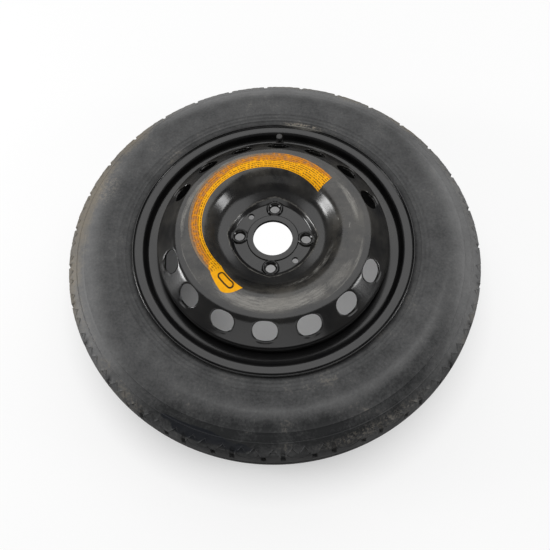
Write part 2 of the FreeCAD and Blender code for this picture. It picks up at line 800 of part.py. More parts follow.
def main():
    """Build every piece and write its file."""
    doc = FreeCAD.newDocument("spare_wheel")
    make_sheet(doc)
    pieces = [make(doc) for make in PIECES]
    doc.recompute()
    check(doc, pieces)
    os.makedirs("parts", exist_ok=True)
    for piece in pieces:
        piece.Shape.exportStep(os.path.join("parts", f"{piece.Label}.step"))
        box = piece.Shape.BoundBox
        print(f"{piece.Label}: {len(piece.Shape.Solids)} solid, {piece.Shape.Volume:.1f} mm3, "
              f"x {box.XMin:.2f} {box.XMax:.2f}, y {box.YMin:.2f} {box.YMax:.2f}, z {box.ZMin:.2f} {box.ZMax:.2f}")


main()
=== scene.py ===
"""Looks of a temporary spare wheel that lies flat: a dusty narrow tyre on a black pressed-steel wheel.

Sizes are millimetres in the wheel's own frame, with the hub face at height 0 and the valve on the +Y side.
They turn to metres only where a mesh is made.
"""
import logging
import math
from abc import ABC, abstractmethod
from collections.abc import Sequence
from dataclasses import dataclass, field
from enum import Enum

import bpy
import numpy as np
from mathutils import Matrix, Vector


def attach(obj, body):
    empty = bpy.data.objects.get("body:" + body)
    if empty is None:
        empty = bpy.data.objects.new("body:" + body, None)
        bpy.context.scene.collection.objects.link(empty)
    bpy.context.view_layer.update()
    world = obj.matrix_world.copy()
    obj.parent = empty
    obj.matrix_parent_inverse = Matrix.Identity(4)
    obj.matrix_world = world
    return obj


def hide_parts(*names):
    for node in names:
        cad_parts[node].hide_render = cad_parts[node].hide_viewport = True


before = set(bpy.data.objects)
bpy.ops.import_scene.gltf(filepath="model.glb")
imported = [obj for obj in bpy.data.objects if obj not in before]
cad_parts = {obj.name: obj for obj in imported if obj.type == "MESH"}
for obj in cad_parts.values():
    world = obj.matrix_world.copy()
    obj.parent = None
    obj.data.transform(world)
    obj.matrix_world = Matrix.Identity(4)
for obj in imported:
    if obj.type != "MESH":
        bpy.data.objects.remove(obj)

Array = np.ndarray
Pair = tuple[float, float]
Triple = tuple[float, float, float]
Floats = tuple[float, ...]
Row = tuple[Array | float, Array | float]
Socket = bpy.types.NodeSocket
NodeTree = bpy.types.NodeTree
Material = bpy.types.Material
log = logging.getLogger("spare_wheel")

MM = 0.001
FULL_TURN = 2 * math.pi
MIDDLE_PLANE = -41.0
WELD = 2e-3


class Slot(Enum):
    """Slots of the part's record."""

    TYRE = "tyre_rubber"
    PAINT = "black_painted_steel"
    FILM = "printed_film"
    VALVE = "valve_rubber"
    CAP = "cap_plastic"


class Body(Enum):
    """Bodies of the frame that the pieces built here ride on."""

    WHEEL = "wheel"
    CAP = "cap"


# Curves and fields


def smooth_step(low: float, high: float, value: Array) -> Array:
    """Rise from 0 to 1 between two values, level at both ends: 3t² - 2t³."""
    t = np.clip((value - low) / (high - low), 0.0, 1.0)
    return t * t * (3 - 2 * t)


def soft_max(first: Array, second: Array, reach: float) -> Array:
    """The larger of two heights, with the corner between them rounded.

    Where the two are nearer than `reach`, the square of that nearness times a quarter of reach is added.

    Args:
        first: One height.
        second: The other height.
        reach: How near the two come before rounding starts.

    Returns:
        The rounded larger height.
    """
    nearness = np.maximum(reach - np.abs(first - second), 0.0) / reach
    return np.maximum(first, second) + nearness**2 * reach / 4


def soft_min(first: Array, second: Array, reach: float) -> Array:
    """The smaller of two heights, rounded as soft_max rounds the larger."""
    return -soft_max(-first, -second, reach)


def full_circle(columns: int) -> Array:
    """Even angles round a whole turn, in radians, without its end."""
    return np.arange(columns) * FULL_TURN / columns


def quarter_turn(angle: Array) -> Array:
    """Radians to the nearest of four directions: 0, a quarter, a half and three quarters of a turn."""
    return (angle + math.pi / 4) % (math.pi / 2) - math.pi / 4


def angle_apart(angle: Array, centre: float) -> Array:
    """Degrees between angles and a centre angle, the short way round."""
    return np.abs((angle - centre + 180.0) % 360.0 - 180.0)


@dataclass(frozen=True)
class Corner:
    """A corner of a section: radius, height, and the radius of the bend there."""

    across: float
    along: float
    bend: float = 0.0


def corner_table(*rows: Floats) -> tuple[Corner, ...]:
    """Corners from rows of numbers."""
    return tuple(Corner(*row) for row in rows)


def section(corners: Sequence[Corner], step: float, closed: bool = False) -> Array:
    """Draw a section through corners, with straight runs between bends that are true arcs.

    An arc leaves its corner's sides bend * tan(turn / 2) away from the corner.

    Args:
        corners: The corners in order.
        step: Longest distance between two points of the result.
        closed: Whether the last corner joins the first.

    Returns:
        Points of the section, one row of radius and height each.
    """
    places = np.array([(c.across, c.along) for c in corners])
    before, after = np.roll(places, 1, axis=0), np.roll(places, -1, axis=0)
    into = places - before
    out = after - places
    into /= np.linalg.norm(into, axis=1, keepdims=True)
    out /= np.linalg.norm(out, axis=1, keepdims=True)
    turn = np.arctan2(into[:, 0] * out[:, 1] - into[:, 1] * out[:, 0], (into * out).sum(axis=1))
    if not closed:
        turn[[0, -1]] = 0.0
    bend = np.array([c.bend for c in corners])
    marks = []
    for place, along, angle, radius in zip(places, into, turn, bend):
        if abs(angle) < 1e-6 or radius == 0.0:
            marks.append(place[None])
            continue
        side = np.array([-along[1], along[0]]) * math.copysign(radius, angle)
        start = place - along * radius * math.tan(abs(angle) / 2)
        spread = np.linspace(0.0, angle, max(3, math.ceil(abs(angle) * radius / step) + 1))
        cosine, sine = np.cos(spread), np.sin(spread)
        arm = -side
        turned = np.stack([arm[0] * cosine - arm[1] * sine, arm[0] * sine + arm[1] * cosine], axis=1)
        marks.append(start + side + turned)
    line = np.concatenate(marks + ([marks[0][:1]] if closed else []))
    gaps = np.linalg.norm(np.diff(line, axis=0), axis=1)
    parts = np.maximum(np.ceil(gaps / step - 1e-6).astype(int), 1)
    runs = [np.linspace(a, b, n, endpoint=False) for a, b, n in zip(line[:-1], line[1:], parts)]
    return np.concatenate(runs + ([] if closed else [line[-1:]]))


# Surfaces


@dataclass
class Surface:
    """Points in millimetres and the faces between them."""

    points: Array
    quads: Array
    tris: Array = field(default_factory=lambda: np.zeros((0, 3), int))

    def outward(self) -> "Surface":
        """Turn the faces of a closed shell outwards, by the sign of its volume.

        Returns:
            The shell itself, or one with its faces turned over.
        """
        corners = np.concatenate([self.quads[:, [0, 1, 2]], self.quads[:, [0, 2, 3]], self.tris])
        a, b, c = (self.points[corners[:, i]] for i in range(3))
        if np.einsum("ij,ij->i", a, np.cross(b, c)).sum() >= 0:
            return self
        return Surface(self.points, self.quads[:, ::-1], self.tris[:, ::-1])

    def face_normals(self) -> Array:
        """Normal of each four-sided face, twice its area long: the cross product of its diagonals."""
        a, b, c, d = (self.points[self.quads[:, i]] for i in range(4))
        return np.cross(c - a, d - b)

    def upward(self) -> "Surface":
        """Turn the faces of an open sheet so that its upper side faces out."""
        if self.face_normals()[:, 2].sum() >= 0:
            return self
        return Surface(self.points, self.quads[:, ::-1])

    def normals(self) -> Array:
        """Unit normal at each point: the sum of its faces' normals, made one long.

        Returns:
            A row for each point.
        """
        face = self.face_normals()
        total = np.zeros_like(self.points)
        for i in range(4):
            np.add.at(total, self.quads[:, i], face)
        return total / np.maximum(np.linalg.norm(total, axis=1, keepdims=True), 1e-12)


def grid_quads(rows: int, columns: int, ring_rows: bool = False, ring_columns: bool = True) -> Array:
    """Faces of a grid of points.

    Args:
        rows: Number of rows.
        columns: Number of points in a row.
        ring_rows: Whether the last row joins the first.
        ring_columns: Whether the last column joins the first.

    Returns:
        Four point numbers a face.
    """
    spans = np.arange(rows - (not ring_rows)), np.arange(columns - (not ring_columns))
    i, j = np.meshgrid(*spans, indexing="ij")
    below, right = (i + 1) % rows, (j + 1) % columns
    corners = (i * columns + j, i * columns + right, below * columns + right, below * columns + j)
    return np.stack([c.ravel() for c in corners], axis=1)


def polar_sheet(
    radius: Array, angle: Array, height: Array, ring_rows: bool = False, ring_columns: bool = True
) -> Surface:
    """A grid of points round the Z axis: each is (r cos a, r sin a, z).

    Args:
        radius: Millimetres from the axis.
        angle: Radians round it.
        height: Millimetres along it.
        ring_rows: Whether the last row joins the first.
        ring_columns: Whether the last column joins the first.

    Returns:
        The surface.
    """
    grids = np.broadcast_arrays(radius * np.cos(angle), radius * np.sin(angle), height)
    quads = grid_quads(*grids[0].shape, ring_rows, ring_columns)
    return Surface(np.stack(grids, axis=-1).reshape(-1, 3), quads)


def turn_section(profile: Array, angles: Array, closed: bool) -> Surface:
    """Carry a section round the Z axis.

    Args:
        profile: Section points, radius and height.
        angles: Angles of the columns, in radians, a whole turn without its end.
        closed: Whether the section is a loop.

    Returns:
        The turned surface.
    """
    return polar_sheet(profile[:, :1], angles, profile[:, 1:], ring_rows=closed)


def join(surfaces: Sequence[Surface]) -> Surface:
    """Put surfaces into one, and weld the points that they share along their edges.

    Args:
        surfaces: The surfaces, all turned the same way.

    Returns:
        The welded surface.
    """
    starts = np.cumsum([0] + [len(s.points) for s in surfaces[:-1]])
    points = np.concatenate([s.points for s in surfaces])
    quads = np.concatenate([s.quads + n for s, n in zip(surfaces, starts)])
    _, kept, places = np.unique(np.round(points / WELD), axis=0, return_index=True, return_inverse=True)
    return Surface(points[kept], places.ravel()[quads])


def thicken(sheet: Surface, under: Array) -> Surface:
    """Give a sheet its wall: a second face at `under`, and a rim along every open edge.

    Args:
        sheet: The upper face.
        under: For each point, the point below it on the lower face.

    Returns:
        A closed shell.
    """
    count = len(sheet.points)
    edges = np.concatenate([sheet.quads[:, [i, (i + 1) % 4]] for i in range(4)])
    _, place, uses = np.unique(np.sort(edges, axis=1), axis=0, return_index=True, return_counts=True)
    rim = edges[place[uses == 1]]
    walls = np.stack([rim[:, 1], rim[:, 0], rim[:, 0] + count, rim[:, 1] + count], axis=1)
    quads = np.concatenate([sheet.quads, sheet.quads[:, ::-1] + count, walls])
    return Surface(np.concatenate([sheet.points, under]), quads).outward()


def into_scene(name: str, data: bpy.types.ID) -> bpy.types.Object:
    """Make an object of a mesh, light or camera, and link it to the scene."""
    made = bpy.data.objects.new(name, data)
    bpy.context.scene.collection.objects.link(made)
    return made


def add_piece(
    name: str,
    surface: Surface,
    material: Material,
    body: Body,
    replaced: Sequence[str],
    crease_deg: float = 40.0,
    fields: dict[str, Array] | None = None,
) -> None:
    """Make a mesh of a surface, smooth except at sharp edges, and hang it on its body.

    Args:
        name: Name of the piece.
        surface: Its shape in millimetres.
        material: Its finish.
        body: The body it rides on.
        replaced: Nodes of the frame that it stands for.
        crease_deg: Edges that bend by more than this stay sharp.
        fields: Values at each point that the finish reads by name.
    """
    mesh = bpy.data.meshes.new(name)
    quads, tris = surface.quads, surface.tris
    mesh.vertices.add(len(surface.points))
    mesh.vertices.foreach_set("co", (surface.points * MM).ravel())
    loops = np.concatenate([quads.ravel(), tris.ravel()]).astype(np.int32)
    mesh.loops.add(len(loops))
    mesh.loops.foreach_set("vertex_index", loops)
    starts = np.concatenate([np.arange(len(quads)) * 4, len(quads) * 4 + np.arange(len(tris)) * 3])
    mesh.polygons.add(len(starts))
    mesh.polygons.foreach_set("loop_start", starts.astype(np.int32))
    for label, values in (fields or {}).items():
        attribute = mesh.attributes.new(label, "FLOAT", "POINT")
        attribute.data.foreach_set("value", np.asarray(values, np.float32).ravel())
    mesh.update(calc_edges=True)
    mesh.validate()
    mesh.shade_smooth()
    mesh.set_sharp_from_angle(angle=math.radians(crease_deg))
    mesh.materials.append(material)
    piece = into_scene(name, mesh)
    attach(piece, body.value)
    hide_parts(*replaced)
    log.info("%s: %d points, %d faces", name, len(surface.points), len(starts))


# Finishes


def linear(colour: str) -> tuple[float, float, float, float]:
    """Turn an sRGB hex value into linear light with full alpha.

    Args:
        colour: Six hex digits after a hash.

    Returns:
        Red, green, blue and alpha.
    """
    levels = (int(colour[i : i + 2], 16) / 255 for i in (1, 3, 5))
    return (*(c / 12.92 if c <= 0.04045 else ((c + 0.055) / 1.055) ** 2.4 for c in levels), 1.0)


def add_node(
    tree: NodeTree, kind: str, inputs: dict | None = None, **settings: object
) -> bpy.types.Node:
    """Add a node, set it up and feed its sockets.

    Args:
        tree: The tree it goes into.
        kind: Node type.
        inputs: For each socket, by name or number, a value or the socket that feeds it.
        settings: Properties of the node.

    Returns:
        The new node.
    """
    node = tree.nodes.new(kind)
    for name, value in settings.items():
        setattr(node, name, value)
    for socket, value in (inputs or {}).items():
        if isinstance(value, Socket):
            tree.links.new(value, node.inputs[socket])
        else:
            node.inputs[socket].default_value = value
    return node


def per_metre(millimetres: float) -> float:
    """Scale of a pattern on Object coordinates whose cells are this many millimetres wide."""
    return 1.0 / (millimetres * MM)


@dataclass(frozen=True)
class Bench:
    """A node tree, with short ways to add the nodes that the finishes share."""

    tree: NodeTree

    def place(self) -> Socket:
        """Object coordinates, in metres."""
        return add_node(self.tree, "ShaderNodeTexCoord").outputs["Object"]

    def field(self, name: str) -> Socket:
        """Values that the mesh carries at its points under this name."""
        return add_node(self.tree, "ShaderNodeAttribute", attribute_name=name).outputs["Fac"]

    def noise(self, place: Socket, cell_mm: float, detail: float, rough: float = 0.5) -> Socket:
        """Cloudy noise whose cells have a real width."""
        inputs = {"Vector": place, "Scale": per_metre(cell_mm), "Detail": detail, "Roughness": rough}
        return add_node(self.tree, "ShaderNodeTexNoise", inputs).outputs["Fac"]

    def maths(self, operation: str, *values: Socket | float, clamp: bool = False) -> Socket:
        """Arithmetic on sockets and numbers, held between 0 and 1 if asked."""
        inputs = dict(enumerate(values))
        return add_node(self.tree, "ShaderNodeMath", inputs, operation=operation, use_clamp=clamp).outputs[0]

    def vector(self, operation: str, *values: Socket | Sequence[float]) -> Socket:
        """Arithmetic on vectors; a length or a distance comes out as a number."""
        node = add_node(self.tree, "ShaderNodeVectorMath", dict(enumerate(values)), operation=operation)
        return node.outputs["Value" if operation in ("LENGTH", "DISTANCE") else "Vector"]

    def ramp(
        self, value: Socket, low: float, high: float, start: Socket | float = 0.0, end: float = 1.0
    ) -> Socket:
        """Carry a value from the span low to high to the span start to end, held at both ends."""
        inputs = dict(enumerate((value, low, high, start, end)))
        return add_node(self.tree, "ShaderNodeMapRange", inputs).outputs[0]

    def mix(self, share: Socket, first: Socket | str, second: str) -> Socket:
        """A colour between two, each a socket or an sRGB hex value."""
        start = linear(first) if isinstance(first, str) else first
        inputs = {0: share, 6: start, 7: linear(second)}
        return add_node(self.tree, "ShaderNodeMix", inputs, data_type="RGBA").outputs[2]

    def bump(self, height: Socket, strength: float, depth_mm: float) -> Socket:
        """Fine relief of a real depth."""
        inputs = {"Strength": strength, "Distance": depth_mm * MM, "Height": height}
        return add_node(self.tree, "ShaderNodeBump", inputs).outputs[0]


@dataclass(frozen=True)
class Finish(ABC):
    """What every finish starts from: a name for the real material, its roughness, IOR and metallic value."""

    name: str
    roughness: float
    ior: float = 1.5
    metallic: float = 0.0

    def dress(self) -> Material:
        """Make the material: constants on the shader's sockets, then what the finish's own pattern feeds.

        Returns:
            The material.
        """
        material = bpy.data.materials.new(self.name)
        material.use_nodes = True
        tree = material.node_tree
        shader = tree.nodes["Principled BSDF"]
        constants = {"Roughness": self.roughness, "IOR": self.ior, "Metallic": self.metallic}
        for socket, value in constants.items():
            shader.inputs[socket].default_value = value
        for socket, source in self.pattern(Bench(tree)).items():
            tree.links.new(source, shader.inputs[socket])
        return material

    @abstractmethod
    def pattern(self, bench: Bench) -> dict[str, Socket]:
        """What the finish's own pattern feeds to each socket of the shader."""


@dataclass(frozen=True)
class TyreRubber(Finish):
    """Vulcanised rubber from a steel mould, stored for years: matt grey-black under dry brown dust."""

    clean: str = "#1b1c1d"
    # Grey of bloomed rubber; its field also uses it to paint light on the far side and the shoulders.
    bloom_and_painted_light: str = "#747474"
    dust: str = "#7c7466"
    wet: str = "#0f1218"
    scuff: str = "#9a9183"
    cloud_mm: float = 38.0
    speck_mm: float = 3.5
    grain_mm: float = 0.9
    wet_roughness: float = 0.45

    def pattern(self, bench: Bench) -> dict[str, Socket]:
        """Bloomed grey with painted light in clouds, ragged dust where its field says, scuffs in specks and a
        wet stain on top.

        Args:
            bench: The material's node tree.

        Returns:
            For each socket of the shader, what feeds it.
        """
        place = bench.place()
        clouds = bench.noise(place, self.cloud_mm, 6.0, 0.62)
        specks = bench.noise(place, self.speck_mm, 4.0, 0.7)
        grain = bench.noise(place, self.grain_mm, 2.0)
        uneven = bench.maths(
            "ADD", bench.ramp(clouds, 0.3, 0.7, -0.13, 0.13), bench.ramp(specks, 0.3, 0.7, -0.1, 0.1)
        )
        # Bloomed grey and painted light: the field lightens the far side and the shoulders and leaves the
        # near side darker.
        bloom_and_painted_light_share = bench.maths("ADD", bench.field("bloom_and_painted_light"), uneven, clamp=True)
        colour = bench.mix(bloom_and_painted_light_share, self.clean, self.bloom_and_painted_light)
        ragged = bench.maths("MULTIPLY_ADD", uneven, 2.2, bench.field("dust"))
        colour = bench.mix(bench.ramp(ragged, 0.32, 0.95, 0.0, 0.8), colour, self.dust)
        rubbed = bench.maths("MULTIPLY", bench.field("scuff"), bench.ramp(specks, 0.48, 0.6))
        colour = bench.mix(rubbed, colour, self.scuff)
        spread = bench.maths("MULTIPLY_ADD", bench.maths("ADD", clouds, -0.5), 1.6, bench.field("wet"))
        wetness = bench.ramp(spread, 0.42, 0.58)
        return {
            "Base Color": bench.mix(wetness, colour, self.wet),
            "Roughness": bench.ramp(wetness, 0.0, 1.0, self.roughness, self.wet_roughness),
            "Normal": bench.bump(grain, 0.35, 0.25),
        }


@dataclass(frozen=True)
class BlackPaint(Finish):
    """Baked black enamel on pressed steel: satin gloss, dulled by dust, rubbed to grey steel in places, with
    painted highlight lines in the same grey.
    """

    paint: str = "#121213"
    dull: str = "#55524c"
    # Grey of bare steel, also the colour of painted highlight lines along edges.
    steel: str = "#95928b"
    chalk: str = "#b9b7b2"
    cloud_mm: float = 38.0
    streak_mm: float = 2.2
    streak_turns: float = 7.0
    speck_mm: float = 1.4
    orange_peel_mm: float = 2.6
    dulling: float = 0.25

    def pattern(self, bench: Bench) -> dict[str, Socket]:
        """Dull clouds, streaks of bare steel that run round the wheel, painted highlight lines where the
        field asks, and smears of chalky dirt.

        Args:
            bench: The material's node tree.

        Returns:
            For each socket of the shader, what feeds it.
        """
        place = bench.place()
        flat = bench.vector("MULTIPLY", place, (1.0, 1.0, 0.0))
        rows = bench.maths("MULTIPLY", bench.vector("LENGTH", flat), per_metre(self.streak_mm))
        rise = add_node(bench.tree, "ShaderNodeCombineXYZ", {"Z": rows}).outputs[0]
        heading = bench.vector("NORMALIZE", flat)
        round_about = bench.vector("MULTIPLY_ADD", heading, (self.streak_turns, self.streak_turns, 0.0), rise)
        streaks = bench.noise(round_about, 1.0 / MM, 5.0, 0.65)
        clouds = bench.noise(place, self.cloud_mm, 5.0, 0.6)
        specks = bench.noise(place, self.speck_mm, 3.0, 0.75)
        peel = bench.noise(place, self.orange_peel_mm, 1.0)
        dulled = bench.maths("MULTIPLY", bench.ramp(clouds, 0.35, 0.75), bench.field("dust"))
        colour = bench.mix(dulled, self.paint, self.dull)
        broken = bench.maths("MULTIPLY_ADD", specks, 0.38, bench.maths("MULTIPLY", streaks, 0.62))
        # The field holds rubbed paint and painted highlight lines.
        push = bench.maths("MULTIPLY_ADD", bench.field("wear_and_highlight"), 0.42, broken)
        wear_and_highlight_share = bench.ramp(push, 0.66, 1.06, 0.0, 0.8)
        colour = bench.mix(wear_and_highlight_share, colour, self.steel)
        chalking = bench.maths("MULTIPLY", bench.field("chalk"), bench.ramp(broken, 0.46, 0.62))
        dullness = bench.maths("MAXIMUM", wear_and_highlight_share, dulled)
        return {
            "Base Color": bench.mix(chalking, colour, self.chalk),
            "Roughness": bench.ramp(dullness, 0.0, 1.0, self.roughness, self.roughness + self.dulling),
            "Normal": bench.bump(peel, 0.12, 0.1),
        }


@dataclass(frozen=True)
class PrintedFilm(Finish):
    """Printed polyester film: bright yellow with a satin skin, sun-faded and rubbed off on its outer side."""

    yellow: str = "#f3ac02"
    orange: str = "#cf7f10"
    faded: str = "#7d7263"
    ink: str = "#6e4610"
    dark_ink: str = "#17130f"
    row_mm: float = 3.3
    flake_mm: float = 5.0
    dashes_per_mm: float = 0.42

    def pattern(self, bench: Bench) -> dict[str, Socket]:
        """Rows of short dashes on yellow, fading with the field to orange and then to grey film.

        Args:
            bench: The material's node tree.

        Returns:
            For each socket of the shader, what feeds it.
        """
        rows = bench.maths("MULTIPLY", bench.field("across"), 1.0 / self.row_mm)
        bar = bench.maths("COMPARE", bench.maths("FRACT", rows), 0.5, 0.2)
        spot = {"X": bench.field("along"), "Y": bench.maths("FLOOR", rows)}
        step = add_node(bench.tree, "ShaderNodeCombineXYZ", spot).outputs[0]
        inputs = {"Vector": step, "Scale": self.dashes_per_mm, "Detail": 2.0, "Roughness": 0.8}
        gaps = add_node(bench.tree, "ShaderNodeTexNoise", inputs, noise_dimensions="2D").outputs["Fac"]
        dash = bench.maths("MULTIPLY", bar, bench.maths("GREATER_THAN", gaps, 0.47))
        printed = bench.maths("MULTIPLY", dash, bench.field("print"))
        flakes = bench.noise(bench.place(), self.flake_mm, 6.0, 0.72)
        fade = bench.maths("MULTIPLY_ADD", flakes, 0.9, bench.field("faded"))
        colour = bench.mix(bench.ramp(fade, 0.55, 0.95), self.yellow, self.orange)
        colour = bench.mix(bench.ramp(fade, 0.9, 1.14, 0.0, 0.92), colour, self.faded)
        colour = bench.mix(printed, colour, self.ink)
        return {"Base Color": bench.mix(bench.field("mark"), colour, self.dark_ink)}


@dataclass(frozen=True)
class PlainFinish(Finish):
    """A small piece's finish: one colour that drifts a little, with a fine grain in its gloss."""

    colour: str = "#202020"
    drift: str = "#303030"
    cloud_mm: float = 4.0
    grain_mm: float = 0.4

    def pattern(self, bench: Bench) -> dict[str, Socket]:
        """Mix the two colours in clouds, and ripple the surface with the grain.

        Args:
            bench: The material's node tree.

        Returns:
            For each socket of the shader, what feeds it.
        """
        place = bench.place()
        clouds = bench.noise(place, self.cloud_mm, 4.0)
        grain = bench.noise(place, self.grain_mm, 2.0)
        return {
            "Base Color": bench.mix(clouds, self.colour, self.drift),
            "Normal": bench.bump(grain, 0.2, 0.05),
        }


@dataclass(frozen=True)
class Spot:
    """A soft-edged place where a field is high: its centre and half sizes, in degrees and millimetres."""

    angle: float
    radius: float
    half_angle: float
    half_radius: float
    strength: float = 1.0

    def on(self, angle: Array, radius: Array) -> Array:
        """Value at places: a smooth hill that falls to nothing at the spot's edge.

        Args:
            angle: Degrees round the wheel.
            radius: Millimetres from its axis.

        Returns:
            The strength times one minus the smoothed distance from the centre.
        """
        around = angle_apart(angle, self.angle) / self.half_angle
        outward = (radius - self.radius) / self.half_radius
        return self.strength * (1.0 - smooth_step(0.35, 1.0, np.hypot(around, outward)))


def spot_table(*rows: Floats) -> tuple[Spot, ...]:
    """Spots from rows of numbers."""
    return tuple(Spot(*row) for row in rows)


def spots(places: Sequence[Spot], points: Array) -> Array:
    """The highest of several spots at points of the wheel.

    Args:
        places: The spots.
        points: Points in millimetres.

    Returns:
        A value for each point.
    """
    angle = np.degrees(np.arctan2(points[:, 1], points[:, 0]))
    radius = np.hypot(points[:, 0], points[:, 1])
    return np.max([s.on(angle, radius) for s in places], axis=0)


# The wheel's pieces


@dataclass
class Tyre:
    """The tyre: ribs and grooves on the tread, notched zigzag shoulders, ringed sidewalls and two beads."""

    pitches: int = 30
    notch_phases: Pair = (0.0, 7.4)
    notch_half: float = 0.42
    notch_depth: float = 4.2
    groove_place: float = 17.0
    groove_half: float = 3.4
    groove_depth: float = 5.0
    ridge: float = 1.0
    step_radius: float = 282.5
    path_step: float = 0.25
    edge_height: float = 46.5
    rib_half: float = 7.0
    groove_bend: float = 0.6
    outer_rib: Pair = (25.0, 29.2)
    block_start: float = 29.6
    wide_phases: Floats = tuple(1.2 + 0.5 * n for n in range(11))
    narrow_phases: Floats = (8.6, 9.2, 9.7, 10.2, 10.8)
    arc_middle: float = 3.7
    arc_half: float = 3.1
    arc_foot: float = 5.0
    arc_rise: float = 13.0
    short_arc_foot: float = 4.0
    arc_depth: float = 0.8
    zigzag_phases: Floats = (-0.62, 0.62, 2.2, 3.7, 5.2, 6.78, 8.02, 9.7, 11.38)
    zigzag_radii: Floats = (297.0, 297.0, 288.0, 295.3, 288.0, 297.0, 297.0, 288.5, 297.0)
    ridge_half: float = 0.9
    ridge_loss: float = 0.85
    ridge_loss_span: Pair = (291.0, 296.0)
    nick_reach: float = 2.0
    nick_share: float = 0.85
    step_lip: Pair = (0.5, -0.35)
    step_width: float = 0.9
    wall_rows: tuple[Pair, ...] = (
        (279.0, 0.0), (274.0, 0.0), (271.4, 0.0), (270.6, 0.45), (269.8, 0.0), (265.0, 0.0),
        (259.0, 0.0), (253.0, 0.0), (247.0, 0.0), (241.0, 0.0), (235.0, 0.0), (230.0, 0.0),
        (225.8, 0.0), (224.5, 0.6), (223.2, 0.0), (220.3, 0.0), (219.0, 0.5), (217.7, 0.0),
        (214.8, 0.0), (213.5, 0.7), (212.2, 0.0), (209.6, 0.0), (207.0, 0.0), (204.6, 0.0),
    )
    bead_rows: Floats = (19.0, 13.0, 11.0, 0.0)
    bloom_and_painted_light: float = 0.27
    dust: float = 0.08
    rim_dust: float = 0.12
    rim_dust_span: Pair = (206.0, 232.0)
    half_outline: tuple[Corner, ...] = corner_table(
        (303.0, 0.0), (302.6, 20.5, 150.0), (297.3, 46.5, 7.0), (286.5, 54.5, 16.0),
        (266.0, 60.3, 60.0), (247.5, 62.7, 26.0), (229.0, 60.5, 60.0), (208.3, 53.3, 5.0),
        (204.6, 50.5), (190.4, 50.5, 2.0), (189.4, 38.5),
    )
    chamber: tuple[Pair, ...] = (
        (198.0, 38.8), (214.0, 47.5), (247.0, 55.0), (270.0, 52.0), (289.0, 43.0), (292.4, 30.0),
        (292.5, 0.0),
    )
    # Bloomed grey and painted light: the spots at 185, 95 and 10 degrees light the left shoulder, the far
    # side and the right shoulder; the narrow one at 248.5 mm is a painted highlight along the near sidewall's
    # crest.
    bloom_and_painted_light_spots: tuple[Spot, ...] = spot_table(
        (185.0, 290.0, 66.0, 52.0, 0.52), (95.0, 298.0, 85.0, 44.0, 0.74),
        (10.0, 290.0, 56.0, 48.0, 0.55), (300.0, 248.5, 70.0, 7.5, 0.2),
        (283.0, 298.0, 62.0, 13.0, 0.17),
    )
    # Painted shade: less grey on the near side, so it stays darker.
    painted_shade_spots: tuple[Spot, ...] = spot_table(
        (272.0, 280.0, 56.0, 36.0, 0.25), (282.0, 230.0, 58.0, 15.0, 0.12),
        (316.0, 266.0, 26.0, 18.0, 0.16),
    )
    dust_spots: tuple[Spot, ...] = spot_table(
        (172.0, 297.0, 66.0, 40.0, 0.75), (70.0, 302.0, 70.0, 26.0, 0.6),
        (345.0, 298.0, 30.0, 16.0, 0.3), (225.0, 292.0, 24.0, 16.0, 0.3),
    )
    wet_spots: tuple[Spot, ...] = spot_table(
        (256.0, 286.0, 12.0, 12.0, 0.95), (265.0, 290.0, 7.0, 9.0, 0.8), (248.0, 283.0, 6.0, 6.0, 0.75),
    )
    scuff_spots: tuple[Spot, ...] = spot_table(
        (166.0, 266.0, 9.0, 22.0, 0.3), (80.0, 208.0, 12.0, 4.5, 0.9), (20.0, 290.0, 25.0, 9.0, 0.2),
        (300.0, 292.0, 20.0, 8.0, 0.25),
    )

    def __post_init__(self) -> None:
        """Draw half the section, and note the distance along it to each of its points."""
        self.path = section(self.half_outline, self.path_step)
        strides = np.linalg.norm(np.diff(self.path, axis=0), axis=1)
        self.gone = np.concatenate([[0.0], np.cumsum(strides)])

    def phases(self) -> Array:
        """Angles of the columns in one pitch: close together at the notches, even between them."""
        near = np.array([-1.5, -1.0, 0.0, 1.0, 1.5]) * self.notch_half
        notches = [near + phase for phase in self.notch_phases]
        return np.sort(np.concatenate([*notches, self.wide_phases, self.narrow_phases]))

    def zigzag(self, phase: Array) -> Array:
        """Radius of the shoulder's zigzag line: straight flanks between three inward peaks in a pitch."""
        return np.interp(phase, self.zigzag_phases, self.zigzag_radii)

    def at_radius(self, radius: Array | float) -> Array:
        """Distance along the half section at which it comes in to a radius."""
        return np.interp(-np.asarray(radius), -self.path[:, 0], self.gone)

    def shoulder_edge(self) -> float:
        """Distance along the half section to the corner between tread and shoulder."""
        widest = np.argmax(self.path[:, 1])
        return float(np.interp(self.edge_height, self.path[:widest, 1], self.gone[:widest]))

